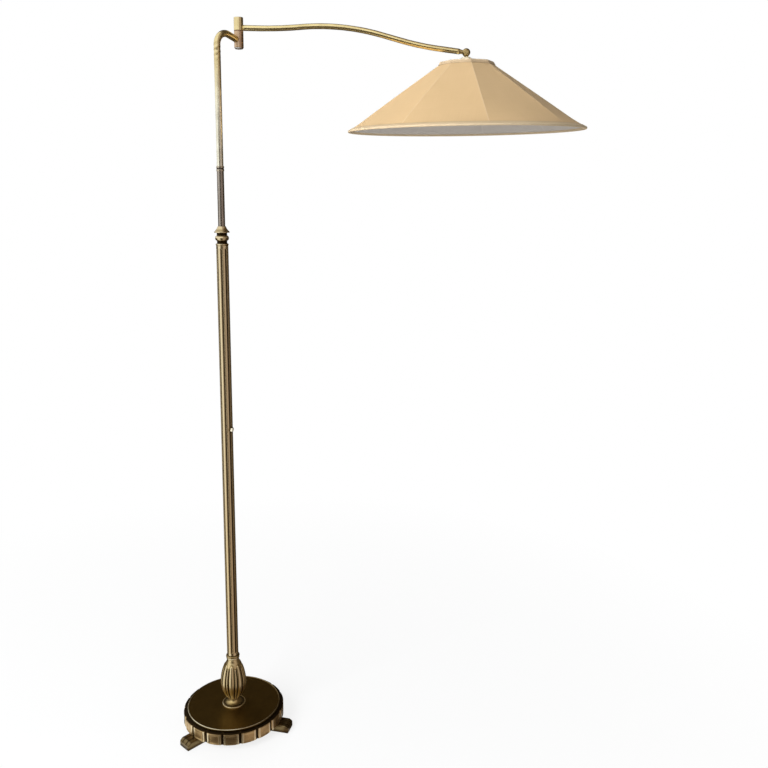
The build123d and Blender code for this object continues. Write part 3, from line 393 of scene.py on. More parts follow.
def brass(name, clean, tarnished, edge, tarnish, spread, drawn, gloss=0.22, dull=0.48, bump=0.05, lower_band=None):
    """Principled metal whose colour runs clean, brown, bright by the patina masks.

    drawn is how much each axis is stretched for the fine lines; a small number runs along a tube.
    The last argument is (colour, low, high): below the height low the clean colour turns into this one."""
    material, tree, shader, place = new_material(name)
    along = add_node(tree, "ShaderNodeMapping", {"Vector": place, "Scale": drawn}).outputs["Vector"]
    relief = add_node(tree, "ShaderNodeAttribute", attribute_name="relief").outputs["Fac"]
    inputs = {"Place": place, "Drawn": along, "Relief": relief, "Tarnish": tarnish, "Spread": spread}
    masks = add_node(tree, "ShaderNodeGroup", inputs, node_tree=patina).outputs
    polished = (*clean, 1)
    if lower_band:
        upright = add_node(tree, "ShaderNodeSeparateXYZ", {0: place}).outputs["Z"]
        polished = mix_colour(tree, ramp_value(tree, upright, lower_band[1], lower_band[2]), (*lower_band[0], 1), polished)
    colour = mix_colour(tree, masks["Brown"], polished, (*tarnished, 1))
    colour = mix_colour(tree, masks["Bright"], colour, (*edge, 1))
    roughness = ramp_value(tree, masks["Brown"], 0, 1, gloss, dull)
    normal = bumped(tree, bump, tarnish_depth, masks["Height"])
    fill(tree, shader, {"Base Color": colour, "Roughness": roughness, "Metallic": 1.0, "Normal": normal})
    return material


print("brass maker ready")

# %% Brass finishes
upright_lines = (1.0, 1.0, 0.02)
level_lines = (0.03, 1.0, 1.0)
turned_lines = (0.15, 0.15, 1.0)
deep_brown = (0.030, 0.017, 0.005)
cream_edge = (0.84, 0.72, 0.47)
cast_lines = (1.0, 1.0, 1.0)
column_brass = brass(
    "column_brass", (0.76, 0.62, 0.37), deep_brown, cream_edge, 0.18, 0.35, upright_lines,
    # Darker and warmer towards the bottom of the column.
    lower_band=((0.64, 0.47, 0.235), 0.25, 0.85),
)
collar_brass = brass("collar_brass", (0.62, 0.48, 0.25), deep_brown, cream_edge, 0.25, 0.4, turned_lines)
mast_brass = brass(
    "mast_brass", (0.46, 0.41, 0.35), (0.085, 0.065, 0.045), cream_edge, 0.18, 0.3, upright_lines,
)
crook_brass = brass(
    "crook_brass", (0.84, 0.70, 0.37), (0.25, 0.16, 0.055), cream_edge, 0.08, 0.4, upright_lines, 0.20, 0.42,
    # A pale band low on the crook: some handling wear, brightened further into a painted highlight.
    lower_band=((0.98, 0.95, 0.78), 1.40, 1.52),
)
arm_brass = brass(
    "arm_brass", (0.97, 0.81, 0.41), (0.22, 0.14, 0.045), cream_edge, 0.08, 0.35, level_lines,
)
pivot_brass = brass(
    "pivot_brass", (0.64, 0.45, 0.29), (0.20, 0.11, 0.06), cream_edge, 0.2, 0.3, upright_lines,
)
cast_brass = brass(
    "cast_brass", (0.68, 0.51, 0.23), deep_brown, (0.98, 0.88, 0.62), 0.10, 0.40, cast_lines, 0.32, 0.48,
)
apron_brass = brass(
    "apron_brass", (0.62, 0.43, 0.20), (0.035, 0.021, 0.008), (0.95, 0.84, 0.56), 0.22, 0.7, cast_lines,
    0.34, 0.6,
)
foot_brass = brass(
    "foot_brass", (0.085, 0.054, 0.020), (0.024, 0.015, 0.006), (0.30, 0.225, 0.11), 0.30, 0.7, cast_lines,
    0.28, 0.5,
)
disc_brass = brass(
    "disc_brass", (0.23, 0.145, 0.034), (0.105, 0.062, 0.013), (0.98, 0.91, 0.68), 0.40, 0.5, turned_lines,
    0.30, 0.42,
)
small_brass = brass("small_brass", (0.56, 0.42, 0.19), (0.10, 0.06, 0.02), cream_edge, 0.25, 0.5, cast_lines)
dark_brass = brass("dark_brass", (0.20, 0.14, 0.055), (0.05, 0.03, 0.01), cream_edge, 0.4, 0.5, cast_lines)
print("brass finishes", sum(m.name.endswith("brass") for m in bpy.data.materials))

# %% [markdown]
# The cover and the lining are cloth. A plain weave passes each thread over one and under the next, which
# two sine waves give: their product is positive where the warp lies on top. The threads also vary in
# thickness, so long soft noise runs along both directions. The coordinates are metres on the cloth. The
# threads could be modelled one by one, but they cross hundreds of thousands of times, so a bump stands in.

# %% Weave group
slub_fine, slub_long = 900, 14
weave, weave_in, weave_out = new_group(
    "weave",
    [("Cloth", "NodeSocketVector", None), ("Threads", "NodeSocketFloat", 1100.0)],
    ["Height", "Slub"],
)
weave_math = partial(compute, weave)
cloth_place, threads = list(weave_in.outputs)[:2]
cloth_axes = add_node(weave, "ShaderNodeSeparateXYZ", {0: cloth_place}).outputs
beat = weave_math("MULTIPLY", threads, pi)
warp_wave = weave_math("SINE", weave_math("MULTIPLY", cloth_axes["X"], beat))
weft_wave = weave_math("SINE", weave_math("MULTIPLY", cloth_axes["Y"], beat))
on_top = weave_math("GREATER_THAN", weave_math("MULTIPLY", warp_wave, weft_wave), 0.0)
warp_part = weave_math("MULTIPLY", weave_math("ABSOLUTE", warp_wave), on_top)
weft_part = weave_math("MULTIPLY", weave_math("ABSOLUTE", weft_wave), weave_math("SUBTRACT", 1.0, on_top))
slubs = []
for stretch in ((slub_fine, slub_long, 1), (slub_long, slub_fine, 1)):
    run = add_node(weave, "ShaderNodeMapping", {"Vector": cloth_place, "Scale": stretch}).outputs[0]
    slubs.append(noise(weave, run, 1.0))
slub = weave_math("MULTIPLY", weave_math("ADD", *slubs), 0.5)
fill(weave, weave_out, {"Height": weave_math("ADD", warp_part, weft_part), "Slub": slub})
print("group", weave.name, "nodes", len(weave.nodes))

# %% Cloth finishes
thread_depth = 0.0004
slub_weight, blotch_weight, blotch_scale = 0.65, 0.35, 9.0
dark_joint_tone = 0.45


def cloth(name, thin, thick, seam_and_highlight, threads, bump, roughness=0.85, sheen=0.04):
    """Woven cloth, thin to thick by slub noise; positive marks take the seam colour and negative ones darken.
    """
    material, tree, shader, place = new_material(name)
    cloth_map = add_node(tree, "ShaderNodeUVMap", uv_map="cloth").outputs["UV"]
    inputs = {"Cloth": cloth_map, "Threads": threads}
    masks = add_node(tree, "ShaderNodeGroup", inputs, node_tree=weave).outputs
    relief = add_node(tree, "ShaderNodeAttribute", attribute_name="relief").outputs["Fac"]
    slub_part = compute(tree, "MULTIPLY", masks["Slub"], slub_weight)
    blotches = compute(tree, "MULTIPLY", noise(tree, place, blotch_scale, 4.0), blotch_weight)
    shade = compute(tree, "ADD", slub_part, blotches)
    colour = mix_colour(tree, ramp_value(tree, shade, 0.32, 0.68), (*thin, 1), (*thick, 1))
    # On the cover the pale seam colour is a painted highlight, and the dark tone above the rim trim a painted
    # shadow.
    line = compute(tree, "MULTIPLY", relief, 1.0, clamp=True)
    colour = mix_colour(tree, line, colour, (*seam_and_highlight, 1))
    joint_and_shadow = compute(tree, "MULTIPLY", relief, -1.0, clamp=True)
    colour = mix_colour(tree, joint_and_shadow, colour, tuple(dark_joint_tone * c for c in thin) + (1,))
    normal = bumped(tree, bump, thread_depth, masks["Height"])
    fill(tree, shader, {"Base Color": colour, "Roughness": roughness, "Normal": normal})
    fill(tree, shader, {"Sheen Weight": sheen, "Specular IOR Level": 0.2})
    return material


cover_cloth = cloth(
    "cover_cloth", (0.63, 0.448, 0.243), (0.69, 0.495, 0.277), (0.78, 0.62, 0.42), 1100.0, 0.2,
)
lining_cloth = cloth("lining_cloth", (0.47, 0.42, 0.37), (0.54, 0.49, 0.44), (0.58, 0.53, 0.48), 1400.0, 0.15)
top_cloth = cloth("top_trim_cloth", (0.50, 0.365, 0.22), (0.59, 0.45, 0.295), (0.72, 0.60, 0.43), 900.0, 0.35)
rim_cloth = cloth("rim_trim_cloth", (0.54, 0.405, 0.245), (0.62, 0.48, 0.31), (0.68, 0.56, 0.39), 900.0, 0.35)
print("cloth finishes", sum(m.name.endswith("cloth") for m in bpy.data.materials))

# %% [markdown]
# Each new piece is a grid of points with two parameters: rows along an outline or a path, and columns
# round it. One function joins such a grid into quads, closes the directions that run in a loop, merges
# the rows that shrink to a point, and stores the relief value and the cloth coordinates. Modifiers could
# bend and turn such shapes as well, but a grid keeps the formula of every point in sight.

# %% From grid to mesh
def surface(name, points, relief=None, loop_rows=False, loop_columns=True, cloth_map=None):
    """Closed or open skin of quads over the grid points[row, column]; a loop joins its last to its first."""
    rows, columns = points.shape[:2]
    index = np.arange(rows * columns).reshape(rows, columns)
    index = np.vstack([index, index[:1]]) if loop_rows else index
    index = np.hstack([index, index[:, :1]]) if loop_columns else index
    quads = grid_quads(index)
    mesh = bpy.data.meshes.new(name)
    mesh.from_pydata(points.reshape(-1, 3).tolist(), [], quads.tolist())
    values = np.zeros((rows, columns)) if relief is None else np.broadcast_to(relief, (rows, columns))
    stored = mesh.attributes.new("relief", "FLOAT", "POINT")
    stored.data.foreach_set("value", np.ascontiguousarray(values, dtype=np.float32).reshape(-1))
    if cloth_map is not None:
        corners = cloth_map[quads.reshape(-1) // columns, quads.reshape(-1) % columns]
        mesh.uv_layers.new(name="cloth").data.foreach_set("uv", corners.astype(np.float32).reshape(-1))
    shell = bmesh.new()
    shell.from_mesh(mesh)
    bmesh.ops.remove_doubles(shell, verts=shell.verts, dist=1e-7)
    bmesh.ops.recalc_face_normals(shell, faces=shell.faces)
    shell.to_mesh(mesh)
    shell.free()
    mesh.polygons.foreach_set("use_smooth", np.ones(len(mesh.polygons), dtype=bool))
    return stand(name, mesh)


def dress(made, material, *replaced):
    """Gives the piece its material, puts it on the body of the first node it stands for and hides those
    nodes.
    """
    made.data.materials.append(material)
    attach(made, frame["nodes"][replaced[0]]["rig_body"])
    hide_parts(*replaced)
    print(made.name, "faces", len(made.data.polygons), "stands for", *replaced)
    return made


def smooth(value, start, end):
    """The s-curve 3t^2 - 2t^3 of t = (value - start) / (end - start), held to 0..1."""
    t = np.clip((value - start) / (end - start), 0, 1)
    return t * t * (3 - 2 * t)


print("surface helpers ready")

# %% [markdown]
# Lathe work is an outline of radius and height, carried round the axis. Real edges are broken, never
# sharp, so every corner of an outline is eased into a short curve before it is turned. A bevel could break
# the edges afterwards, but an eased outline also carries the relief value round each corner.

# %% Eased outlines
corner_steps = np.linspace(0, 1, 6)
leg_share, leg_row = 0.36, 1.3


def rounded(outline):
    """Eases each (radius, height, reach, relief) corner C into (1-t)^2 A + 2t(1-t) C + t^2 B.

    A and B lie on the two legs, reach away from C, which is in millimetres and at most leg_share of the
    shorter leg. One more row on each leg keeps the leg flat."""
    table = np.asarray(outline, dtype=float)
    place = table[:, :2]
    back = np.roll(place, 1, axis=0) - place
    onward = np.roll(place, -1, axis=0) - place
    back_length = np.linalg.norm(back, axis=1)
    onward_length = np.linalg.norm(onward, axis=1)
    reach = np.minimum(table[:, 2] * mm, leg_share * np.minimum(back_length, onward_length))
    a = place + back * (reach / back_length)[:, None]
    b = place + onward * (reach / onward_length)[:, None]
    t = corner_steps[None, :, None]
    eased = (1 - t) ** 2 * a[:, None] + 2 * t * (1 - t) * place[:, None] + t**2 * b[:, None]
    lead = place + leg_row * (a - place)
    trail = place + leg_row * (b - place)
    rows = np.concatenate([lead[:, None], eased, trail[:, None]], axis=1).reshape(-1, 2)
    return rows, np.repeat(table[:, 3], len(corner_steps) + 2)


print("steps in an eased corner", len(corner_steps))

# %% Turning
# Share of the painted highlight that the far side of a turned piece keeps.
far_side_highlight = 0.15


def turned(name, outline, centre=(0.0, 0.0), columns=96, lit_azimuth=None):
    """x = r cos a + cx, y = r sin a + cy, z = height, for each row of the eased outline.

    The last argument is the azimuth of a painted highlight on the proud rows, which fades towards the far
    side."""
    rows, relief = rounded(outline)
    a = np.linspace(0, 2 * pi, columns, endpoint=False)
    r, z = rows[:, :1], rows[:, 1:]
    points = ring(r, a, z) + (*centre, 0)
    marks = np.broadcast_to(relief[:, None], points.shape[:2])
    if lit_azimuth is not None:
        side_highlight = far_side_highlight + (1 - far_side_highlight) * smooth(np.cos(a - lit_azimuth), -0.35, 0.45)
        marks = np.where(marks > 0, marks * side_highlight, marks)
    return surface(name, points, marks, loop_rows=True)


def measured(node):
    """Lowest and highest height of a CAD piece, and half its width."""
    low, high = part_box(node)
    return low.z, high.z, (high.x - low.x) / 2


print("turning helpers ready")

# %% [markdown]
# The apron is the drum under the disc: a casting with eighteen framed panels. Between two panels runs a
# deep groove, each panel is sunk inside a raised frame, and the foot of the drum swells a little at each
# panel. A turned outline gives the drum, and a pattern across each panel is taken off its radius. The
# grooves could be cut with booleans, but a pattern on the radius keeps one clean grid.

# %% Apron sizes
rod_bore = 5.1 * mm
foot_azimuth = radians(-13.5)
apron_bottom, apron_top, apron_radius = measured("base_apron")
apron_wall = 9.0 * mm
apron_web = 4.0 * mm
panel_count = 18
groove_half = 2.8 * mm
groove_depth = 4.2 * mm
frame_inner = 11.5 * mm
sink_depth = 1.3 * mm
panel_crown = 0.7 * mm
edge_ease = 2.6 * mm
panel_step = 2 * pi / panel_count
half_panel = apron_radius * panel_step / 2
print("apron radius", round(apron_radius, 4), "panel width", round(2 * half_panel, 4))

# %% Apron
def apron_outline():
    """(radius, height) rows up the drum's wall, over its top and back inside, and the wall's rows as 1."""
    inner, web = apron_radius - apron_wall, apron_top - apron_web
    start = [(inner, apron_bottom), (apron_radius - 3 * mm, apron_bottom)]
    wall = [(apron_radius, z) for z in np.linspace(apron_bottom, apron_top - edge_ease, 22)]
    top = [(apron_radius - 1.2 * mm, apron_top - 0.8 * mm), (apron_radius - 3.4 * mm, apron_top)]
    inside = [(rod_bore, apron_top), (rod_bore, web), (inner, web)]
    on_wall = np.repeat([0.0, 1.0, 0.0], [len(start), len(wall), len(top) + len(inside)])
    return np.array(start + wall + top + inside), on_wall[:, None]


def apron_surface():
    """Wall radius less depth * groove, sink * sunk field and crown * (way across / half a panel)^2.

    The groove, the sunk field and the bright edge are s-curves of the way across and of the height."""
    rows, on_wall = apron_outline()
    columns = np.linspace(0, 2 * pi, panel_count * 36, endpoint=False)
    across = (columns - foot_azimuth) % panel_step - panel_step / 2
    across = np.abs(across * apron_radius)[None, :]
    groove_start = half_panel - groove_half
    up = rows[:, 1:]
    groove = smooth(across, groove_start - 0.7 * mm, groove_start + 0.7 * mm)
    groove_shape = groove * (0.3 + 0.7 * smooth(up, apron_bottom + 0.5 * mm, apron_bottom + 3.5 * mm))
    sunk = 1 - smooth(across, frame_inner - 0.6 * mm, frame_inner + 0.6 * mm)
    sunk = sunk * smooth(up, apron_bottom + 1.6 * mm, apron_bottom + 2.8 * mm)
    sunk = sunk * (1 - smooth(up, apron_top - 6.2 * mm, apron_top - 5.0 * mm))
    edge = smooth(across, frame_inner + 0.3 * mm, frame_inner + 1.3 * mm)
    edge = edge * (1 - smooth(across, groove_start - 1.4 * mm, groove_start - 0.4 * mm))
    near_wall = np.clip(on_wall + (rows[:, :1] > apron_radius - 3.1 * mm) * 0.6, 0, 1)
    radius = rows[:, :1] - near_wall * (groove_depth * groove_shape + sink_depth * sunk * on_wall)
    radius = radius - on_wall * panel_crown * (across / half_panel) ** 2
    scallop = 0.4 * mm * groove * (1 - smooth(up, apron_bottom, apron_bottom + 9 * mm)) * near_wall
    relief = on_wall * (0.95 * edge * (1 - groove) - 1.1 * groove)
    relief = relief - 0.9 * (1 - on_wall) * (up > apron_top - 3 * mm)
    return surface("apron", ring(radius, columns, up + scallop), np.clip(relief, -1, 1), loop_rows=True)


dress(apron_surface(), apron_brass, "base_apron")

# %% [markdown]
# The three feet are cast blocks that reach out from under the apron. A foot is an outline of its side,
# with the bevelled toe, carried across its width. The outline draws in near both flanks, which rounds
# the edges, and two channels run along the top. A bevelled box would be quicker, but it has no channels.

# %% Foot sizes
foot_length_in = 78.0 * mm
foot_length_out = 140.0 * mm
foot_height = apron_bottom
foot_half = 17.0 * mm
foot_edge = 3.0 * mm
toe_bevel_run = 7.0 * mm
toe_bevel_fall = 5.0 * mm
channel_place, channel_width, channel_depth = 6.5 * mm, 1.3 * mm, 0.9 * mm
channel_start = foot_length_in + 8 * mm
foot_outline = [
    (foot_length_in, 0.0, 1.0, -0.6),
    (foot_length_out, 0.0, 2.0, -0.4),
    (foot_length_out, foot_height - toe_bevel_fall, 2.6, 0.5),
    (foot_length_out - toe_bevel_run, foot_height, 2.2, 0.6),
    (foot_length_in, foot_height, 1.0, -0.6),
]
print("foot height", round(foot_height, 4), "length", round(foot_length_out - foot_length_in, 4))

# %% Feet
def foot(name, azimuth, node):
    """Outline point p at width w moves inwards by e - sqrt(e^2 - (e - d)^2), d being the way to the flank."""
    rows, relief = rounded(foot_outline)
    ahead = np.roll(rows, -1, axis=0) - np.roll(rows, 1, axis=0)
    inward = np.stack([-ahead[:, 1], ahead[:, 0]], axis=1)
    inward /= np.linalg.norm(inward, axis=1)[:, None] + 1e-12
    depth = foot_edge * (1 - np.cos(np.linspace(0, pi / 2, 7)))
    side = np.concatenate([depth, np.linspace(foot_edge * 1.2, foot_half, 18)])
    width = np.concatenate([side - foot_half, foot_half - side[-2::-1]])
    to_flank = foot_half - np.abs(width)
    draw = foot_edge - np.sqrt(np.maximum(foot_edge**2 - np.maximum(foot_edge - to_flank, 0) ** 2, 0))
    channel = np.exp(-(((np.abs(width) - channel_place) / channel_width) ** 2))
    on_top = (rows[:, 1:] > foot_height - toe_bevel_fall - 1 * mm) & (rows[:, :1] > channel_start)
    cut = draw[None, :] + channel_depth * channel[None, :] * on_top
    flat = rows[:, None, :] + inward[:, None, :] * cut[..., None]
    middle = np.broadcast_to(rows.mean(axis=0), (len(rows), 1, 2))
    flat = np.concatenate([middle, flat, middle], axis=1)
    width = np.concatenate([width[:1], width, width[-1:]])
    marks = relief[:, None] * np.ones(len(width)) - 0.9 * np.pad(channel, 1)[None, :] * on_top
    turn = np.array([[cos(azimuth), -sin(azimuth)], [sin(azimuth), cos(azimuth)]])
    level = np.stack([flat[..., 0], np.broadcast_to(width, flat.shape[:2])], axis=-1) @ turn.T
    grid = np.concatenate([level, flat[..., 1:]], axis=-1)
    made = surface(name, grid, np.clip(marks, -1, 1), loop_rows=True, loop_columns=False)
    return dress(made, foot_brass, node)


for number in range(3):
    foot(f"foot_block_{number + 1}", foot_azimuth + 2 * pi / 3 * number, f"foot_{number + 1}")

# %% [markdown]
# The disc closes the base. It is spun sheet, dark and satin, with a bright half-round bead at its rim and
# fine rings left by the polishing wheel. Lathe outlines also give the bell under the vase, and the ring
# that the column sits on: a pale bead below a darker band. The CAD shapes could be kept, but they store no
# relief value, which the patina needs.

# %% Disc
disc_low, disc_high, disc_radius = measured("base_disc")
bead = 1.7 * mm
disc_face = disc_high - 0.9 * mm
bead_rows = [
    (disc_radius - bead * (1 - cos(t)), disc_high - bead + bead * sin(t), 0.3, shade)
    for t, shade in zip(np.radians([0, 30, 60, 90, 120, 150]), (-0.8, 0.3, 1.0, 1.0, 1.0, 0.2))
]
disc_outline = [
    (rod_bore, disc_low, 0.3, 0.0),
    (disc_radius - 2.2 * mm, disc_low, 0.5, -0.9),
    (disc_radius, disc_low + 1.0 * mm, 0.5, -1.0),
    *bead_rows,
    (disc_radius - 2.3 * bead, disc_face, 0.4, -0.7),
    (disc_radius - 3.4 * bead, disc_face, 0.4, 0.0),
    (disc_radius * 0.66, disc_face, 0.4, 0.0),
    (rod_bore, disc_face, 0.3, 0.0),
]
# The bead gets a painted highlight on its front side, which fades towards the back.
dress(turned("disc", disc_outline, columns=192, lit_azimuth=radians(-105)), disc_brass, "base_disc")

# %% Bell
bell_low, bell_high, bell_radius = measured("vase_foot")
bell_rim = 3.2 * mm
bell_neck = 10.5 * mm
bell_lip = 13.2 * mm
bell_run = bell_radius - bell_rim - bell_neck
bell_rise = bell_high - bell_low - 2 * bell_rim
bell_curve = [
    (bell_neck + bell_run * (1 - sin(t)), bell_high - bell_rim - bell_rise * cos(t), 0.5, shade)
    for t, shade in zip(np.radians([8, 26, 44, 62, 80]), (-0.8, -0.5, -0.2, 0.0, 0.0))
]
bell_outline = [
    (rod_bore, bell_low, 0.3, 0.0),
    (bell_radius, bell_low, 0.8, 0.3),
    (bell_radius, bell_low + bell_rim, 1.3, 1.0),
    (bell_radius - bell_rim, bell_low + bell_rim, 0.5, -0.5),
    *bell_curve,
    (bell_neck, bell_high - bell_rim, 0.6, -0.8),
    (bell_lip, bell_high - 1.4 * mm, 0.7, 0.9),
    (bell_lip, bell_high, 0.4, 0.4),
    (rod_bore, bell_high, 0.3, 0.0),
]
dress(turned("bell", bell_outline), cast_brass, "vase_foot")

# %% Seat ring
seat_low, seat_high, seat_radius = measured("column_seat_ring")
seat_outline = [
    (rod_bore, seat_low, 0.3, 0.0),
    (seat_radius - 2.4 * mm, seat_low, 1.0, 1.0),
    (seat_radius - 0.5 * mm, seat_low + 1.9 * mm, 1.2, 1.0),
    (seat_radius - 1.7 * mm, seat_low + 4.0 * mm, 0.8, 0.9),
    (seat_radius - 3.0 * mm, seat_low + 4.6 * mm, 0.4, -1.0),
    (seat_radius - 1.0 * mm, seat_low + 5.4 * mm, 0.6, -0.5),
    (seat_radius, seat_low + 6.8 * mm, 0.9, 0.2),
    (seat_radius - 0.8 * mm, seat_high - 0.8 * mm, 0.9, -0.4),
    (seat_radius - 2.9 * mm, seat_high, 0.5, -0.9),
    (rod_bore, seat_high, 0.3, 0.0),
]
dress(turned("seat_ring", seat_outline), cast_brass, "column_seat_ring")

# %% [markdown]
# The vase is a turned bulb with eight gadroons, the long lobes that end in a round top. Between two lobes
# stands a narrow rib with a groove on each side. The bulb's radius comes from two arcs that meet at the
# widest point, and the lobes, ribs and grooves are taken off it by the angle from the nearest rib. It could
# be sculpted by hand, but a formula repeats each lobe as the founder's pattern does.

# %% Vase sizes
vase_low, vase_high, vase_radius = measured("vase")
vase_height = vase_high - vase_low
vase_widest_share = 0.41
vase_top = 12.6 * mm
lobe_count = 8
rib_angle = radians(7.5)
lobe_angle = pi / lobe_count
lobe_fall = 2.9 * mm
rib_fall = 0.7 * mm
cap_step = 1.3 * mm
groove_angle = radians(3.1)
lobe_shoulder, lobe_crown, lobe_step, lip_place = 0.80, 0.075, 0.012, 0.014
groove_cut = 0.3 * mm


def arc_radius(rise, span, wide, narrow):
    """Radius of a circle arc that is upright at its widest, wide, and reaches narrow at the height span."""
    fall = wide - narrow
    bow = (fall**2 + span**2) / (2 * fall)
    return wide - bow + np.sqrt(bow**2 - rise**2)


print("vase height", round(vase_height, 4), "radius", round(vase_radius, 4))

# %% Vase
def vase_surface():
    """Bulb radius less fall * (way from the lobe's middle)^2 on a lobe, and likewise on a rib.

    A bell curve between the two is the groove. Lobes and ribs end in a round top, lobe_end, above which
    the bulb steps in by cap_step."""
    share = [np.linspace(0, 0.70, 44, endpoint=False), np.linspace(0.70, 0.93, 46), np.linspace(0.94, 1, 8)]
    share = np.concatenate(share)[:, None]
    rise = (share - vase_widest_share) * vase_height
    upper = arc_radius(np.maximum(rise, 0), (1 - vase_widest_share) * vase_height, vase_radius, vase_top)
    lower = arc_radius(np.minimum(rise, 0), vase_widest_share * vase_height, vase_radius, bell_lip)
    bulb = np.where(rise > 0, upper, lower)
    a = np.linspace(0, 2 * pi, lobe_count * 48, endpoint=False)[None, :]
    from_rib = (a + pi / 2 - lobe_angle) % (2 * lobe_angle)
    from_rib = np.minimum(from_rib, 2 * lobe_angle - from_rib)
    lobe = (lobe_angle - from_rib) / (lobe_angle - rib_angle)
    rib = np.clip(from_rib / rib_angle, 0, 1)
    off = np.where(from_rib > rib_angle, lobe_fall * lobe**2, rib_fall + (lobe_fall - rib_fall) * rib**2)
    groove = np.exp(-(((from_rib - rib_angle) / groove_angle) ** 2))
    lobe_end = lobe_shoulder + lobe_crown * np.sqrt(np.clip(1 - np.minimum(lobe, 1) ** 2, 0, 1))
    above = smooth(share, lobe_end - lobe_step, lobe_end + lobe_step)
    raised = smooth(share, 0.01, 0.06) * (1 - above)
    size = np.minimum(bulb / vase_radius * 1.15, 1.0)
    radius = bulb - (off + groove_cut * groove) * raised * size
    radius = radius - cap_step * above * (1 - smooth(share, 0.93, 1.0))
    lip = np.exp(-(((share - lobe_end - lip_place) / lobe_step) ** 2))
    belly = 0.60 + 0.40 * (1 - smooth(share, 0.25, 0.45))
    on_lobe = (1 - np.clip(lobe, 0, 1) ** 2) * (from_rib > rib_angle)
    relief = raised * (belly * (on_lobe + (rib < 0.5)) - 1.5 * groove)
    relief = relief + 0.35 * above - 0.95 * lip - 0.8 * (1 - smooth(share, 0.0, 0.05))
    outside = ring(radius, a, vase_low + share * vase_height)
    points = np.concatenate([outside, ring(rod_bore, a, vase_high), ring(rod_bore, a, vase_low)])
    relief = np.clip(np.vstack([relief * 0.9, np.zeros((2, a.size))]), -1, 1)
    return surface("gadrooned_vase", points, relief, loop_rows=True)


dress(vase_surface(), cast_brass, "vase")

# %% [markdown]
# The column is a fluted tube. Its section is a circle with eight round flutes cut in, which run out near
# both ends. Dirt keeps the flutes dark and the lands between them are rubbed pale. Round cutters could take
# the flutes out of a tube; their depth as a formula of the angle does the same, and fades at the ends.

# %% Column
column_low, column_high, _ = measured("column_tube")
column_radius = 13.0 * mm
column_wall = 2.8 * mm
flute_count = 8
flute_azimuth = radians(-90)
cutter = 2.6 * mm
flute_depth = 1.5 * mm
flute_margin = 7.0 * mm
flute_step = 2 * pi / flute_count
land_place, land_width = 4.2 * mm, 1.7 * mm
run_out_length = 2.4 * mm


def column_surface():
    """Tube radius less sqrt(cutter^2 - chord^2) - (cutter - depth), faded out near both ends."""
    height = np.concatenate([
        column_low + np.linspace(0, 14, 15) * mm,
        np.linspace(column_low + 16 * mm, column_high - 16 * mm, 60),
        column_high - np.linspace(14, 0, 15) * mm,
    ])[:, None]
    a = np.linspace(0, 2 * pi, flute_count * 32, endpoint=False)[None, :]
    from_flute = (a - flute_azimuth + flute_step / 2) % flute_step - flute_step / 2
    chord = column_radius * from_flute
    to_end = np.minimum(height - column_low, column_high - height) - flute_margin
    run_out = np.sqrt(np.clip(to_end / run_out_length, 0, 1))
    depth = np.sqrt(np.maximum(cutter**2 - chord**2, 0)) - (cutter - flute_depth)
    depth = np.maximum(depth, 0) * run_out
    relief = 0.40 * np.exp(-(((np.abs(chord) - land_place) / land_width) ** 2)) - 0.9 * depth / flute_depth
    end_band = 0.7 * (to_end < -0.5 * mm) * (to_end > -5 * mm)
    relief = np.clip(np.where(to_end > 0, relief, end_band), -1, 1)
    relief = np.vstack([relief, np.zeros((2, a.size))])
    bore = column_radius - column_wall
    outside = ring(column_radius - depth, a, height)
    points = np.concatenate([outside, ring(bore, a, column_high), ring(bore, a, column_low)])
    return surface("fluted_column", points, relief, loop_rows=True)


dress(column_surface(), column_brass, "column_tube")

# %% [markdown]
# The collar and the clamp nut are small lathe work: a ring, a dark neck, a full bead, a dark throat, and a
# cone that screws down on the split collet. Both are bored, because the mast slides and turns in them. One
# outline could give both, but the nut turns by itself, so it is a piece of its own.

# %% Collar
collar_low, collar_high, _ = measured("column_collar")
nut_low, nut_high, nut_radius = measured("clamp_nut")
column_top = column_high
collar_bore = 8.0 * mm
spigot = 10.1 * mm
ring_radius, neck_radius, bead_radius, throat_radius = (v * mm for v in (13.7, 10.9, 14.9, 11.2))
neck_bottom = column_top + 4.0 * mm
bead_bottom = neck_bottom + 6.0 * mm
bead_top = bead_bottom + 11.0 * mm
thread_radius = 10.2 * mm
collet_room = 9.0 * mm
collet_bottom = collar_high - 6.2 * mm
# Collar and nut get a painted highlight on their left front side, which fades towards the right.
highlight_side = radians(-150)
bead_middle, bead_half = (bead_bottom + bead_top) / 2, 5.5 * mm
bead_swell = bead_radius - neck_radius
bead_bow = [
    (neck_radius + bead_swell * sin(t), bead_middle - bead_half * cos(t), 0.6, shade)
    for t, shade in zip(np.radians([12, 40, 68, 90, 112, 140, 168]), (-0.5, 0.3, 0.6, 0.6, 0.8, 0.5, -0.4))
]
collar_outline = [
    (collar_bore, collar_low, 0.3, 0.0),
    (spigot, collar_low, 0.3, 0.0),
    (spigot, column_top, 0.2, -0.8),
    (ring_radius, column_top, 0.5, 0.5),
    (ring_radius, neck_bottom - 0.6 * mm, 1.2, 1.0),
    (neck_radius + 0.5 * mm, neck_bottom, 0.4, -0.8),
    (neck_radius, neck_bottom + 1.2 * mm, 0.4, -1.0),
    (neck_radius, bead_bottom - 0.6 * mm, 0.4, -1.0),
    *bead_bow,
    (throat_radius, bead_top + 0.9 * mm, 0.4, -1.0),
    (throat_radius, nut_low - 0.4 * mm, 0.3, -1.0),
    (thread_radius, nut_low - 0.3 * mm, 0.2, -0.8),
    (thread_radius, collar_high, 0.3, 0.0),
    (collet_room, collar_high, 0.2, 0.0),
    (collet_room, collet_bottom, 0.2, 0.0),
    (collar_bore, collet_bottom, 0.2, 0.0),
]
dress(turned("collar", collar_outline, lit_azimuth=highlight_side), collar_brass, "column_collar")

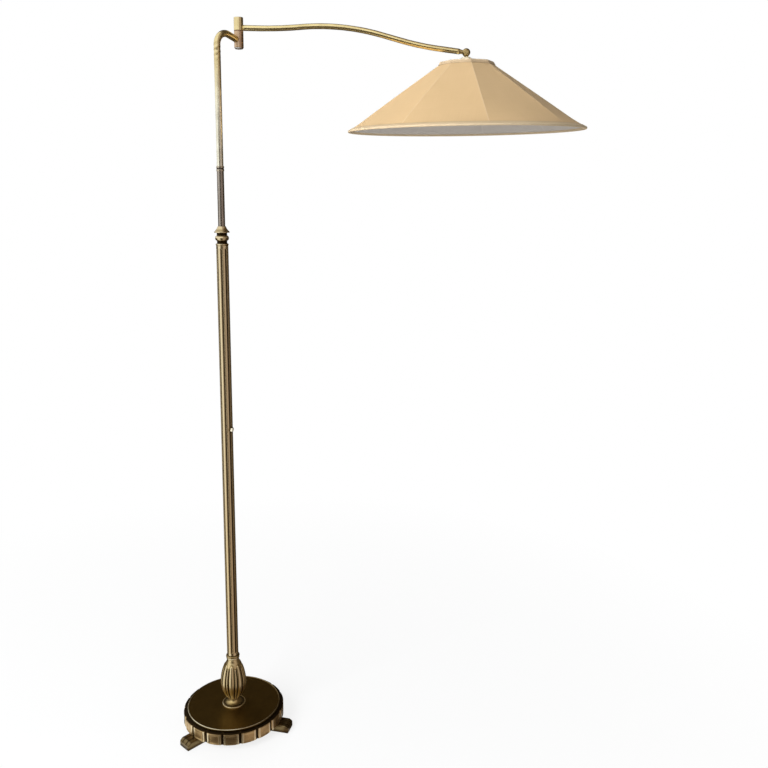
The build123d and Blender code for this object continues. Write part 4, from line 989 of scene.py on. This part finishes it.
# %% Clamp nut
nut_top = 8.8 * mm
nut_rim = 1.6 * mm
mast_room = 7.7 * mm
cone_rise = nut_high - nut_low - nut_rim
cone_run, cone_hollow = nut_radius - nut_top, 1.3 * mm
cone_foot = nut_low + nut_rim
cone = [
    (nut_top + cone_run * (1 - t) - cone_hollow * sin(pi * t), cone_foot + cone_rise * t, 0.5, shade)
    for t, shade in ((0.14, -0.35), (0.36, -0.1), (0.60, 0.5), (0.84, 0.7))
]
nut_outline = [
    (thread_radius + 0.1 * mm, nut_low, 0.3, -0.5),
    (nut_radius, nut_low, 0.5, 0.3),
    (nut_radius, nut_low + nut_rim, 0.6, 1.0),
    *cone,
    (nut_top, nut_high, 0.5, 0.8),
    (mast_room, nut_high, 0.2, -0.8),
    (mast_room, collar_high + 3.3 * mm, 0.2, 0.0),
    (collet_room, collar_high + 0.3 * mm, 0.2, 0.0),
    (thread_radius + 0.1 * mm, collar_high + 0.3 * mm, 0.2, 0.0),
]
dress(turned("clamp_cone", nut_outline, lit_azimuth=highlight_side), collar_brass, "clamp_nut")

# %% [markdown]
# The mast is a drawn tube that stands in the column, and a ring joins it to the crook. The crook and the
# arm are bent tubes: a circle carried along a line of straight runs and arcs. Bending a thin tube
# over a former leaves small puckers on the inside of the bend, which a short wave on the radius gives. A
# curve with a round bevel could make the tubes too, but its radius can't differ from side to side.

# %% Mast
mast_low, mast_high, _ = measured("mast_tube")
mast_radius = 7.5 * mm
tube_wall = 1.0 * mm
mast_levels = np.linspace(mast_low + 2 * mm, mast_high - 2 * mm, 12)
mast_outline = [
    (mast_radius - tube_wall, mast_low, 0.3, 0.0),
    (mast_radius, mast_low, 0.4, 0.0),
    *[(mast_radius, z, 0.4, 0.0) for z in mast_levels],
    (mast_radius, mast_high, 0.4, 0.0),
    (mast_radius - tube_wall, mast_high, 0.3, 0.0),
]
dress(turned("mast", mast_outline, columns=64), mast_brass, "mast_tube")

# %% Joint ring
joint_low, joint_high, joint_radius = measured("mast_joint_ring")
joint_middle = (joint_low + joint_high) / 2
joint_outline = [
    (mast_radius + 0.02 * mm, joint_low, 0.2, -0.6),
    (joint_radius, joint_low, 0.5, 0.7),
    (joint_radius, joint_middle - 1.6 * mm, 0.3, 0.3),
    (joint_radius - 0.5 * mm, joint_middle - 1.0 * mm, 0.2, -1.0),
    (joint_radius - 0.5 * mm, joint_middle + 1.0 * mm, 0.2, -1.0),
    (joint_radius, joint_middle + 1.6 * mm, 0.3, 0.3),
    (joint_radius, joint_high, 0.5, 0.7),
    (mast_radius - 0.48 * mm, joint_high, 0.2, -0.6),
]
dress(turned("joint_ring", joint_outline, columns=64), mast_brass, "mast_joint_ring")

# %% Line of a bent tube
def bent_line(corners, bend_radii, spacing):
    """Straight runs and circle arcs through the corners, as points at about the given spacing.

    An arc of radius R leaves both legs R tan(turn / 2) from its corner; its point at angle q is
    start + R sin q * leg + R (1 - cos q) * inward."""
    corners = np.asarray(corners, dtype=float)
    runs, at = [], corners[0]
    for corner, onward, bend in zip(corners[1:-1], corners[2:], bend_radii):
        leg = (corner - at) / np.linalg.norm(corner - at)
        ahead = (onward - corner) / np.linalg.norm(onward - corner)
        turn = np.arccos(np.clip(leg @ ahead, -1, 1))
        start = corner - leg * bend * np.tan(turn / 2)
        inward = ahead - leg * (leg @ ahead)
        inward /= np.linalg.norm(inward)
        count = max(int(np.linalg.norm(start - at) / spacing), 1)
        runs.append(at + (start - at) * np.linspace(0, 1, count, endpoint=False)[:, None])
        q = np.linspace(0, turn, max(int(bend * turn / spacing), 6), endpoint=False)[:, None]
        runs.append(start + bend * np.sin(q) * leg + bend * (1 - np.cos(q)) * inward)
        at = corner + ahead * bend * np.tan(turn / 2)
    count = max(int(np.linalg.norm(corners[-1] - at) / spacing), 2)
    runs.append(at + (corners[-1] - at) * np.linspace(0, 1, count)[:, None])
    return np.vstack(runs)


print("line helper ready")

# %% Tube along a line
end_inset = 0.96


def tube(name, line, radius, flat_normal, relief=0.0, columns=48):
    """Circle of the given radius carried along a flat line: centre + r (cos f * n + sin f * b).

    b is the normal of the line's plane and n = b x t. Both ends close to a point at the centre."""
    ahead = np.gradient(line, axis=0)
    ahead /= np.linalg.norm(ahead, axis=1)[:, None]
    b = np.asarray(flat_normal, dtype=float)
    n = np.cross(b, ahead)
    f = np.linspace(0, 2 * pi, columns, endpoint=False)
    around = np.cos(f)[None, :, None] * n[:, None] + np.sin(f)[None, :, None] * b
    size = np.broadcast_to(radius, (len(line), columns))[..., None]
    points = line[:, None] + size * around
    start = np.repeat(line[:1, None], columns, axis=1)
    end = np.repeat(line[-1:, None], columns, axis=1)
    near_start = start + (points[:1] - start) * end_inset
    near_end = end + (points[-1:] - end) * end_inset
    points = np.concatenate([start, near_start, points, near_end, end])
    marks = np.broadcast_to(relief, (len(line), columns))
    marks = np.vstack([marks[:1], marks[:1], marks, marks[-1:], marks[-1:]])
    return surface(name, points, marks)


print("tube helper ready")

# %% Crook
pivot = np.array(joint_at["arm_swing"])
crook_radius = 7.0 * mm
crook_bend = 26.0 * mm
crook_corner = mast_high + 290.0 * mm
crook_fall = 18.5 * mm
barrel_radius = 10.0 * mm
pucker_size, pucker_pitch, pucker_run = 0.32 * mm, 7.5 * mm, 26 * mm
dent_size, dent_pitch, dent_run, dent_place = 0.22 * mm, 11 * mm, 16 * mm, -34 * mm
tube_angles = np.linspace(0, 2 * pi, 48, endpoint=False)[None, :]


def crook_surface():
    """Bent tube whose radius has two waves: puckers inside the bend, and dents on the leg below it.

    Each is a sine of the way along the tube, times a bell curve round its own middle."""
    tip = (pivot[0], pivot[1], crook_corner - crook_fall)
    line = bent_line([(0, 0, mast_high), (0, 0, crook_corner), tip], [crook_bend], 2.0 * mm)
    to_pivot = np.linalg.norm(line[:, :2] - pivot[None, :2], axis=1)
    line = line[to_pivot > barrel_radius * 0.45]
    heading = atan2(pivot[1], pivot[0])
    length = np.concatenate([[0], np.cumsum(np.linalg.norm(np.diff(line, axis=0), axis=1))])[:, None]
    way = length - length[np.argmin(np.linalg.norm(line - (0, 0, crook_corner), axis=1))]
    inside = np.clip(-np.cos(tube_angles), 0, 1) ** 0.7
    pucker = np.sin(2 * pi * way / pucker_pitch) * np.exp(-((way / pucker_run) ** 2)) * inside
    dents = np.sin(2 * pi * way / dent_pitch + 2.2 * np.cos(tube_angles + 0.7))
    dents = dents * np.exp(-(((way - dent_place) / dent_run) ** 2))
    size = crook_radius + pucker_size * pucker + dent_size * dents
    marks = np.clip(-0.7 * pucker - 0.55 * dents, -0.7, 0.6)
    return tube("crook", line, size, (sin(heading), -cos(heading), 0.0), marks)


dress(crook_surface(), crook_brass, "crook_tube")

# %% [markdown]
# The arm leaves its barrel level, rises over a long bow and falls to the knuckle. Its corners are kept as
# shares of its reach, so the curve is the same one that the CAD model bends. A plain tube would do from
# afar, but two faint waves on the radius keep its highlight from being ruler-straight.

# %% Arm
arm_radius = 6.0 * mm
arm_level = pivot[2] + 6.6 * mm
arm_reach = 474.0 * mm
bend_reach_shares = (0.0, 0.177, 0.470, 0.823, 1.0)
bend_rise_shares = (0.0, -0.0037, 0.0198, -0.0764, -0.0996)
arm_bends = (0.9, 0.5, 0.6)
long_wave, short_wave = 0.05 * mm, 0.04 * mm


def arm_surface():
    """Bent tube whose radius has two sine waves of the step along it and the angle round it."""
    corners = [
        (pivot[0] + arm_reach * reach, pivot[1], arm_level + arm_reach * rise)
        for reach, rise in zip(bend_reach_shares, bend_rise_shares)
    ]
    line = bent_line(corners, arm_bends, 4.0 * mm)
    line = line[line[:, 0] - pivot[0] > barrel_radius * 0.6]
    step = np.arange(len(line))[:, None]
    size = arm_radius + long_wave * np.sin(step * 0.31 + np.sin(tube_angles))
    size = size + short_wave * np.sin(step * 0.83 + 2.0 * tube_angles)
    return tube("arm", line, size, (0, 1, 0))


dress(arm_surface(), arm_brass, "arm_tube")

# %% [markdown]
# The pivot is two short barrels on one upright pin. The lower one is brazed to the crook and has a pale
# plated cap underneath, and the upper one carries the arm and turns on it. One outline function serves both,
# where two copied outlines could drift apart.

# %% Barrels of the pivot
lower_low, lower_high, _ = measured("pivot_lower_barrel")
upper_low, upper_high, _ = measured("arm_barrel")
pin_room = 7.0 * mm
centre = (pivot[0], pivot[1])


def barrel_outline(low, high, top_shade):
    """Rows of a bored barrel: the bore's radius, the wall's radius at five heights, and the bore's again."""
    return [
        (pin_room, low, 0.3, 0.0),
        (barrel_radius, low, 0.5, -0.5),
        (barrel_radius, low + 2.2 * mm, 0.5, 0.1),
        (barrel_radius, (low + high) / 2, 0.5, 0.0),
        (barrel_radius, high - 2.4 * mm, 0.5, 0.1),
        (barrel_radius, high, 0.8, top_shade),
        (pin_room, high, 0.3, 0.0),
    ]


lower = turned("lower_barrel", barrel_outline(lower_low, lower_high, -0.5), centre, columns=72)
dress(lower, pivot_brass, "pivot_lower_barrel")
upper = turned("upper_barrel", barrel_outline(upper_low, upper_high, 0.8), centre, columns=72)
dress(upper, crook_brass, "arm_barrel")

# %% [markdown]
# The plain fittings keep their CAD shapes, and take finishes of the same care: plated steel, ivory
# moulding, glazed porcelain, opal glass, raw iron, rubber and fibre. Each has its own scale of noise, for
# casting sand, moulding skin, brushing or handling. They could be rebuilt like the others, but they are
# small or hidden, so their CAD shapes are enough.

# %% Fitting maker
grain_depth = 0.0005
grain_ratio = 9.0
drift_from, drift_to = 0.3, 0.7


def fitting(name, low, high, scale, rough, bump, metallic=0.0, coat=0.0, milky=0.0):
    """A surface whose colour and gloss drift between two limits with noise of the given scale.

    coat is the share of clear glaze on top, and milky the share of light that spreads inside."""
    material, tree, shader, place = new_material(name)
    drift = noise(tree, place, scale, 4.0)
    grain = noise(tree, place, scale * grain_ratio, 2.0)
    colour = mix_colour(tree, ramp_value(tree, drift, drift_from, drift_to), (*low, 1), (*high, 1))
    roughness = ramp_value(tree, grain, drift_from, drift_to, *rough)
    normal = bumped(tree, bump, grain_depth, grain)
    fill(tree, shader, {"Base Color": colour, "Roughness": roughness, "Normal": normal})
    fill(tree, shader, {"Metallic": metallic, "Coat Weight": coat, "Subsurface Weight": milky})
    return material


print("fitting maker ready")

# %% Fitting finishes
steel = fitting("plated_steel", (0.42, 0.41, 0.39), (0.62, 0.61, 0.58), 60, (0.25, 0.45), 0.08, metallic=1.0)
pale_steel = fitting("pale_plate", (0.70, 0.69, 0.66), (0.88, 0.87, 0.84), 80, (0.2, 0.4), 0.06, metallic=1.0)
iron = fitting("raw_iron", (0.035, 0.033, 0.030), (0.075, 0.068, 0.060), 90, (0.6, 0.85), 0.6)
ivory = fitting("ivory_moulding", (0.70, 0.62, 0.45), (0.80, 0.73, 0.57), 35, (0.30, 0.42), 0.05, coat=0.2)
porcelain = fitting(
    "glazed_porcelain", (0.80, 0.78, 0.73), (0.88, 0.87, 0.83), 40, (0.12, 0.2), 0.03, coat=0.6,
)
cap_metal = fitting(
    "bulb_cap_metal", (0.52, 0.52, 0.50), (0.72, 0.72, 0.70), 70, (0.25, 0.4), 0.1, metallic=1.0,
)
flex = fitting("flex_rubber", (0.40, 0.33, 0.22), (0.52, 0.45, 0.32), 120, (0.55, 0.75), 0.2)
fibre = fitting("red_fibre", (0.16, 0.07, 0.045), (0.25, 0.12, 0.08), 150, (0.6, 0.8), 0.3)
opal = fitting(
    "opal_glass", (0.86, 0.85, 0.80), (0.93, 0.92, 0.89), 30, (0.10, 0.16), 0.02, coat=0.5, milky=0.2,
)
button_brass = fitting(
    "button_brass", (0.80, 0.74, 0.58), (0.94, 0.90, 0.76), 120, (0.2, 0.35), 0.05, metallic=0.3,
)
slot_material = {
    "antique_brass": small_brass, "dark_brass": dark_brass, "cast_iron": iron, "frame_steel": steel,
    "ivory_plastic": ivory, "porcelain": porcelain, "bulb_glass": opal, "bulb_cap": cap_metal,
    "wire_insulation": flex, "fibre_washer": fibre, "shade_cover": cover_cloth, "shade_lining": lining_cloth,
    "shade_trim": rim_cloth,
}
node_material = {
    "pivot_bottom_cap": pale_steel, "pivot_top_cap": crook_brass, "column_plug": column_brass,
    "switch_button": button_brass,
}
for node, made in frame["nodes"].items():
    made.data.materials.clear()
    made.data.materials.append(node_material.get(node, slot_material[slot_of[node]]))
print("finished nodes", len(frame["nodes"]))

# %% [markdown]
# Inside the column a twisted flex runs from the switch to the foot of the mast. The mast slides, but the
# flex here is one fixed tube of two twisted cores, carried by neither body. A rigid wire on either body
# would run into the other's wire when the mast is lowered.

# %% Flex in the column
flex_low, flex_high, flex_radius = measured("column_wire")
twist_length = 16.0 * mm
flex_z = np.linspace(flex_low, flex_high, 120)
flex_line = np.stack([0 * flex_z, 0 * flex_z, flex_z], axis=1)
flex_columns = 24
flex_angles = np.linspace(0, 2 * pi, flex_columns, endpoint=False)[None, :]
# Two twisted cores swell the radius by |cos(angle - one turn per twist length)|.
core = np.abs(np.cos(flex_angles - 2 * pi * flex_z[:, None] / twist_length))
flex_size = flex_radius * (0.8 + 0.2 * core)
column_flex = tube("column_flex", flex_line, flex_size, (0, 1, 0), columns=flex_columns)
column_flex.data.materials.append(flex)
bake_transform(column_flex)
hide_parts("column_wire")
print("column_flex length", round(flex_high - flex_low, 3))

# %% [markdown]
# The shade is cloth stretched over a wire frame: nine straight ribs that end on a round hoop. Between two
# ribs tight cloth is flat, and only near the hoop does it swell out to the hoop's curve. A stretched skin
# loses such a curve as e to the power of minus the way from the edge, so that is the formula. The surface
# has the way down the slope and the way round as parameters, in the head's own frame, which leans
# slightly, and the rim of this old shade hangs one degree lower at the front. A cloth simulation could
# stretch the panels, but for tight cloth over straight ribs the formula gives the same flat shape.

# %% Shade sizes
knuckle = np.array(joint_at["shade_tilt"])
head_lean = radians(0.9)
head_axes = np.array([[cos(head_lean), 0, sin(head_lean)], [0, 1, 0], [-sin(head_lean), 0, cos(head_lean)]])
side_count = 9
corner_azimuth = radians(-5.4)
top_drop, rim_drop = 20.5 * mm, 164.5 * mm
top_radius, rim_radius = 62.5 * mm, 260.8 * mm
top_trim_height, rim_trim_height = 8.0 * mm, 4.2 * mm
cover_top = top_drop + top_trim_height
cover_rim = rim_drop - rim_trim_height
flare = (rim_radius - top_radius) / (rim_drop - cover_top)
half_side = pi / side_count
side_flare = flare * cos(half_side)
inset = np.sqrt(1 + side_flare**2) / cos(half_side)
hoop_radius = 258.0 * mm
hoop_reach = 34.0 * mm
hoop_draw = hoop_radius / rim_radius
rim_tilt = radians(1.0)
seam_steps = np.array([0, 0.004, 0.012, 0.03, 0.07])
side_share = np.concatenate([seam_steps, np.linspace(0.12, 0.88, 17), 1 - seam_steps[:0:-1]])
print("shade sides", side_count, "rim radius", round(hoop_radius, 4), "flare", round(flare, 3))

# %% Shade outlines
def cover_radius(drop, depth=0.0):
    """Corner radius of the surface that lies depth under the cover's outside."""
    return top_radius + (drop - cover_top) * flare - depth * inset


def hoop_share(drop):
    """How far a row has gone over from straight sides to the round hoop: exp(-way to the rim / reach)."""
    return np.exp(-np.maximum(cover_rim - drop, 0) / hoop_reach)


def askew(plan, drop):
    """Adds the height -drop to a plan, and y tan(tilt) in step with the way down to the rim."""
    share = np.clip((drop - cover_top) / (cover_rim - cover_top), 0, 1.1)
    return np.concatenate([plan, (plan[..., 1] * np.tan(rim_tilt) * share - drop)[..., None]], axis=-1)


def shell_rows(top, rim, depth, thickness, count):
    """Rows of a thin closed wall: down its outside and back up its inside."""
    down = np.concatenate([[0, 0.004, 0.012], np.linspace(0.03, 0.97, count), [0.988, 0.996, 1]])
    outside = top + (rim - top) * down
    inside = outside[::-1]
    radius = np.concatenate([cover_radius(outside, depth), cover_radius(inside, depth + thickness)])
    return radius, np.concatenate([outside, inside])


print("shade outline helpers ready")

# %% Shade surfaces
strip_step = 0.3


def panelled(name, radius, drop, relief, draw_in=0.0):
    """Corner k of a row stands at radius (cos a, sin a), a = azimuth + 2 pi k / sides. Points between two
    corners run from their chord to the circle by hoop_share, and in by 4 t (1 - t) times draw_in."""
    corner = corner_azimuth + 2 * half_side * np.arange(side_count + 1)
    k = np.repeat(np.arange(side_count), len(side_share))
    t = np.tile(side_share, side_count)
    level = np.stack([
        (1 - t) * np.cos(corner[k]) + t * np.cos(corner[k + 1]),
        (1 - t) * np.sin(corner[k]) + t * np.sin(corner[k + 1]),
    ], axis=-1)
    outward = np.stack([np.cos(corner[k] + half_side), np.sin(corner[k] + half_side)], axis=-1)
    radius, drop = np.asarray(radius)[:, None], np.asarray(drop)[:, None]
    bow = np.broadcast_to(draw_in, (len(radius), len(t))) * 4 * t * (1 - t)
    circle = hoop_draw * level / np.linalg.norm(level, axis=-1, keepdims=True)
    rounding = hoop_share(drop)[..., None]
    plan = radius[..., None] * ((1 - rounding) * level + rounding * circle) - bow[..., None] * outward
    local = askew(plan, drop)
    chord = 2 * radius * sin(half_side)
    slope = np.broadcast_to(drop * np.sqrt(1 + side_flare**2), bow.shape)
    cloth_map = np.stack([(t - 0.5) * chord + k * strip_step, slope], axis=-1)
    seam_way = np.minimum(t, 1 - t) * chord
    marks = np.broadcast_to(relief(seam_way, drop), bow.shape)
    return surface(name, knuckle + local @ head_axes, marks, loop_rows=True, cloth_map=cloth_map)


print("shade surface helper ready")

# %% [markdown]
# The cover is seamed at every rib, and a fine pale line is painted along each seam as a highlight. The
# lining hangs on the inside of the ribs, in a greyer cloth, and turns out under the hoop to meet the rim's
# roll. Each could be one sheet of faces, but a thin closed wall has a real edge at the rim and can be
# looked at from both sides.

# %% Cover
cover_thickness = 1.0 * mm
edge_lap = 1.0 * mm
seam_draw = 1.6 * mm
pucker_depth, pucker_wave, pucker_reach = 0.16 * mm, 17 * mm, 7 * mm
cover_rows = shell_rows(cover_top - edge_lap, cover_rim + edge_lap, 0.0, cover_thickness, 26)
slope_share = (cover_rows[1] - cover_top) / (cover_rim - cover_top)
stretch_in = seam_draw * np.sin(pi * np.clip(slope_share, 0, 1))[:, None]
pucker_way = np.tile(side_share, side_count)[None, :] * cover_rows[0][:, None] * 2 * sin(half_side)
to_rim = np.abs(cover_rim - cover_rows[1])[:, None]
pucker = pucker_depth * np.sin(2 * pi * pucker_way / pucker_wave) * np.exp(-to_rim / pucker_reach)


def cover_marks(seam_way, drop):
    """Painted highlight on each seam, a bell curve of the way from it, and painted shadow just above the rim
    trim.
    """
    line = 0.45 * np.exp(-((seam_way / (0.9 * mm)) ** 2))
    return line - 0.25 * np.exp(-np.abs(cover_rim - drop) / (2.0 * mm))


cover = panelled("shade_cloth", *cover_rows, cover_marks, stretch_in + pucker)
dress(cover, cover_cloth, "shade_cover")

# %% Lining
lining_top = cover_top + 7.0 * mm
lining_rim = cover_rim - 7.0 * mm
lining_thickness = 0.7 * mm
frame_wire = 2.6 * mm
wire_gap = 0.35 * mm
wire_depth = cover_thickness + wire_gap
rib_depth = wire_depth + (frame_wire + flare * frame_wire / 2) / inset
lining_depth = rib_depth + frame_wire / 2 + wire_gap
slope_radius, slope_drop = shell_rows(lining_top, lining_rim, lining_depth, lining_thickness, 20)
turn_out = np.array([7.9, 16.7, 16.7, 7.6]) * mm
turn_down = np.array([7.3, 7.9, 8.6, 8.1]) * mm
turn_radius = cover_radius(lining_rim, lining_depth) + turn_out
turn_drop = lining_rim + turn_down
half = len(slope_drop) // 2
lining_radius = np.concatenate([slope_radius[:half], turn_radius, slope_radius[half:]])
lining_drop = np.concatenate([slope_drop[:half], turn_drop, slope_drop[half:]])


def lining_marks(seam_way, drop):
    """Pale on a seam, by a bell curve of the way from it."""
    return 0.8 * np.exp(-((seam_way / (1.0 * mm)) ** 2)) + 0 * drop


lining = panelled("shade_lining_cloth", lining_radius, lining_drop, lining_marks)
dress(lining, lining_cloth, "shade_lining")

# %% [markdown]
# Two woven tapes finish the edges: an upright band round the top, and a roll round the hoop at the rim. They
# could be painted on the cover, but their thickness shows against the light, so each is an eased outline
# carried round the nine sides.

# %% Top trim
def band(name, outline):
    """An eased outline of (radius, drop) carried round the nine sides, with the outline's own marks."""
    rows, marks = rounded(outline)
    return panelled(name, rows[:, 0], rows[:, 1], lambda seam_way, drop: marks[:, None])


trim_foot = cover_radius(cover_top) + 0.9 * mm
trim_lean, trim_thick = 4.5 * mm, 2.6 * mm
top_outline = [
    (trim_foot, cover_top, 0.6, -0.75),
    (trim_foot - trim_lean * 0.12, cover_top - 1.1 * mm, 0.5, 0.0),
    (trim_foot - trim_lean * 0.55 + 0.3 * mm, (cover_top + top_drop) / 2, 0.8, 0.1),
    (trim_foot - trim_lean, top_drop, 0.9, 0.6),
    (trim_foot - trim_lean - trim_thick, top_drop, 0.9, 0.3),
    (trim_foot - trim_thick, cover_top, 0.5, 0.0),
]
top_trim = band("shade_top_band", top_outline)
dress(top_trim, top_cloth, "shade_top_trim")

# %% Rim trim
rim_tape = 2.6 * mm
roll_hang = 2.0 * mm
rim_outer = cover_radius(cover_rim) + 0.9 * mm
rim_thick = 4.6 * mm
rim_outline = [
    (cover_radius(cover_rim - rim_tape) - 0.6 * mm, cover_rim - rim_tape, 0.4, -0.8),
    (cover_radius(cover_rim - rim_tape) + 1.9 * mm, cover_rim - rim_tape + 0.3 * mm, 0.5, -0.2),
    (rim_radius, cover_rim + 2.4 * mm, 1.2, 0.5),
    (rim_radius - 0.4 * mm, rim_drop + roll_hang, 1.3, 0.2),
    (rim_radius - rim_thick, rim_drop + roll_hang, 1.3, 0.0),
    (rim_outer - rim_thick, cover_rim, 1.2, 0.0),
]
rim_trim = band("shade_rim_roll", rim_outline)
dress(rim_trim, rim_cloth, "shade_rim_trim")

# %% [markdown]
# The wire frame carries the cloth: nine ribs, a small hoop at the top and the large one in the rim. The
# ribs are thin rods on the corner lines, and the hoops are flat bands with eased edges. The CAD frame could
# stay, but its hoop has nine sides, and the cloth here goes over to a round one.

# %% Ribs
rib_drop = np.linspace(cover_top + frame_wire / 2, cover_rim - frame_wire / 2, 24)
rib_reach = cover_radius(rib_drop, rib_depth) * (1 - (1 - hoop_draw) * hoop_share(rib_drop))
for number in range(side_count):
    turn = corner_azimuth + 2 * half_side * number
    rib_line = knuckle + askew(rib_reach[:, None] * np.array([cos(turn), sin(turn)]), rib_drop) @ head_axes
    rib_side = np.array([-sin(turn), cos(turn), 0]) @ head_axes
    rib = tube(f"shade_rib_{number + 1}", rib_line, frame_wire / 2, rib_side, columns=16)
    dress(rib, steel, "shade_frame").name

# %% Hoops
hoop_table = [
    ("shade_top_hoop", cover_radius(cover_top, wire_depth), cover_top),
    ("shade_rim_hoop", cover_radius(cover_rim - frame_wire, wire_depth), cover_rim - frame_wire),
]
for hoop_name, outer, high in hoop_table:
    inner, low = outer - 2 * frame_wire, high + frame_wire
    section = [(outer, high), (outer, low), (inner, low), (inner, high)]
    hoop = band(hoop_name, [(*corner, 0.8, 0.0) for corner in section])
    dress(hoop, steel, "shade_frame").name
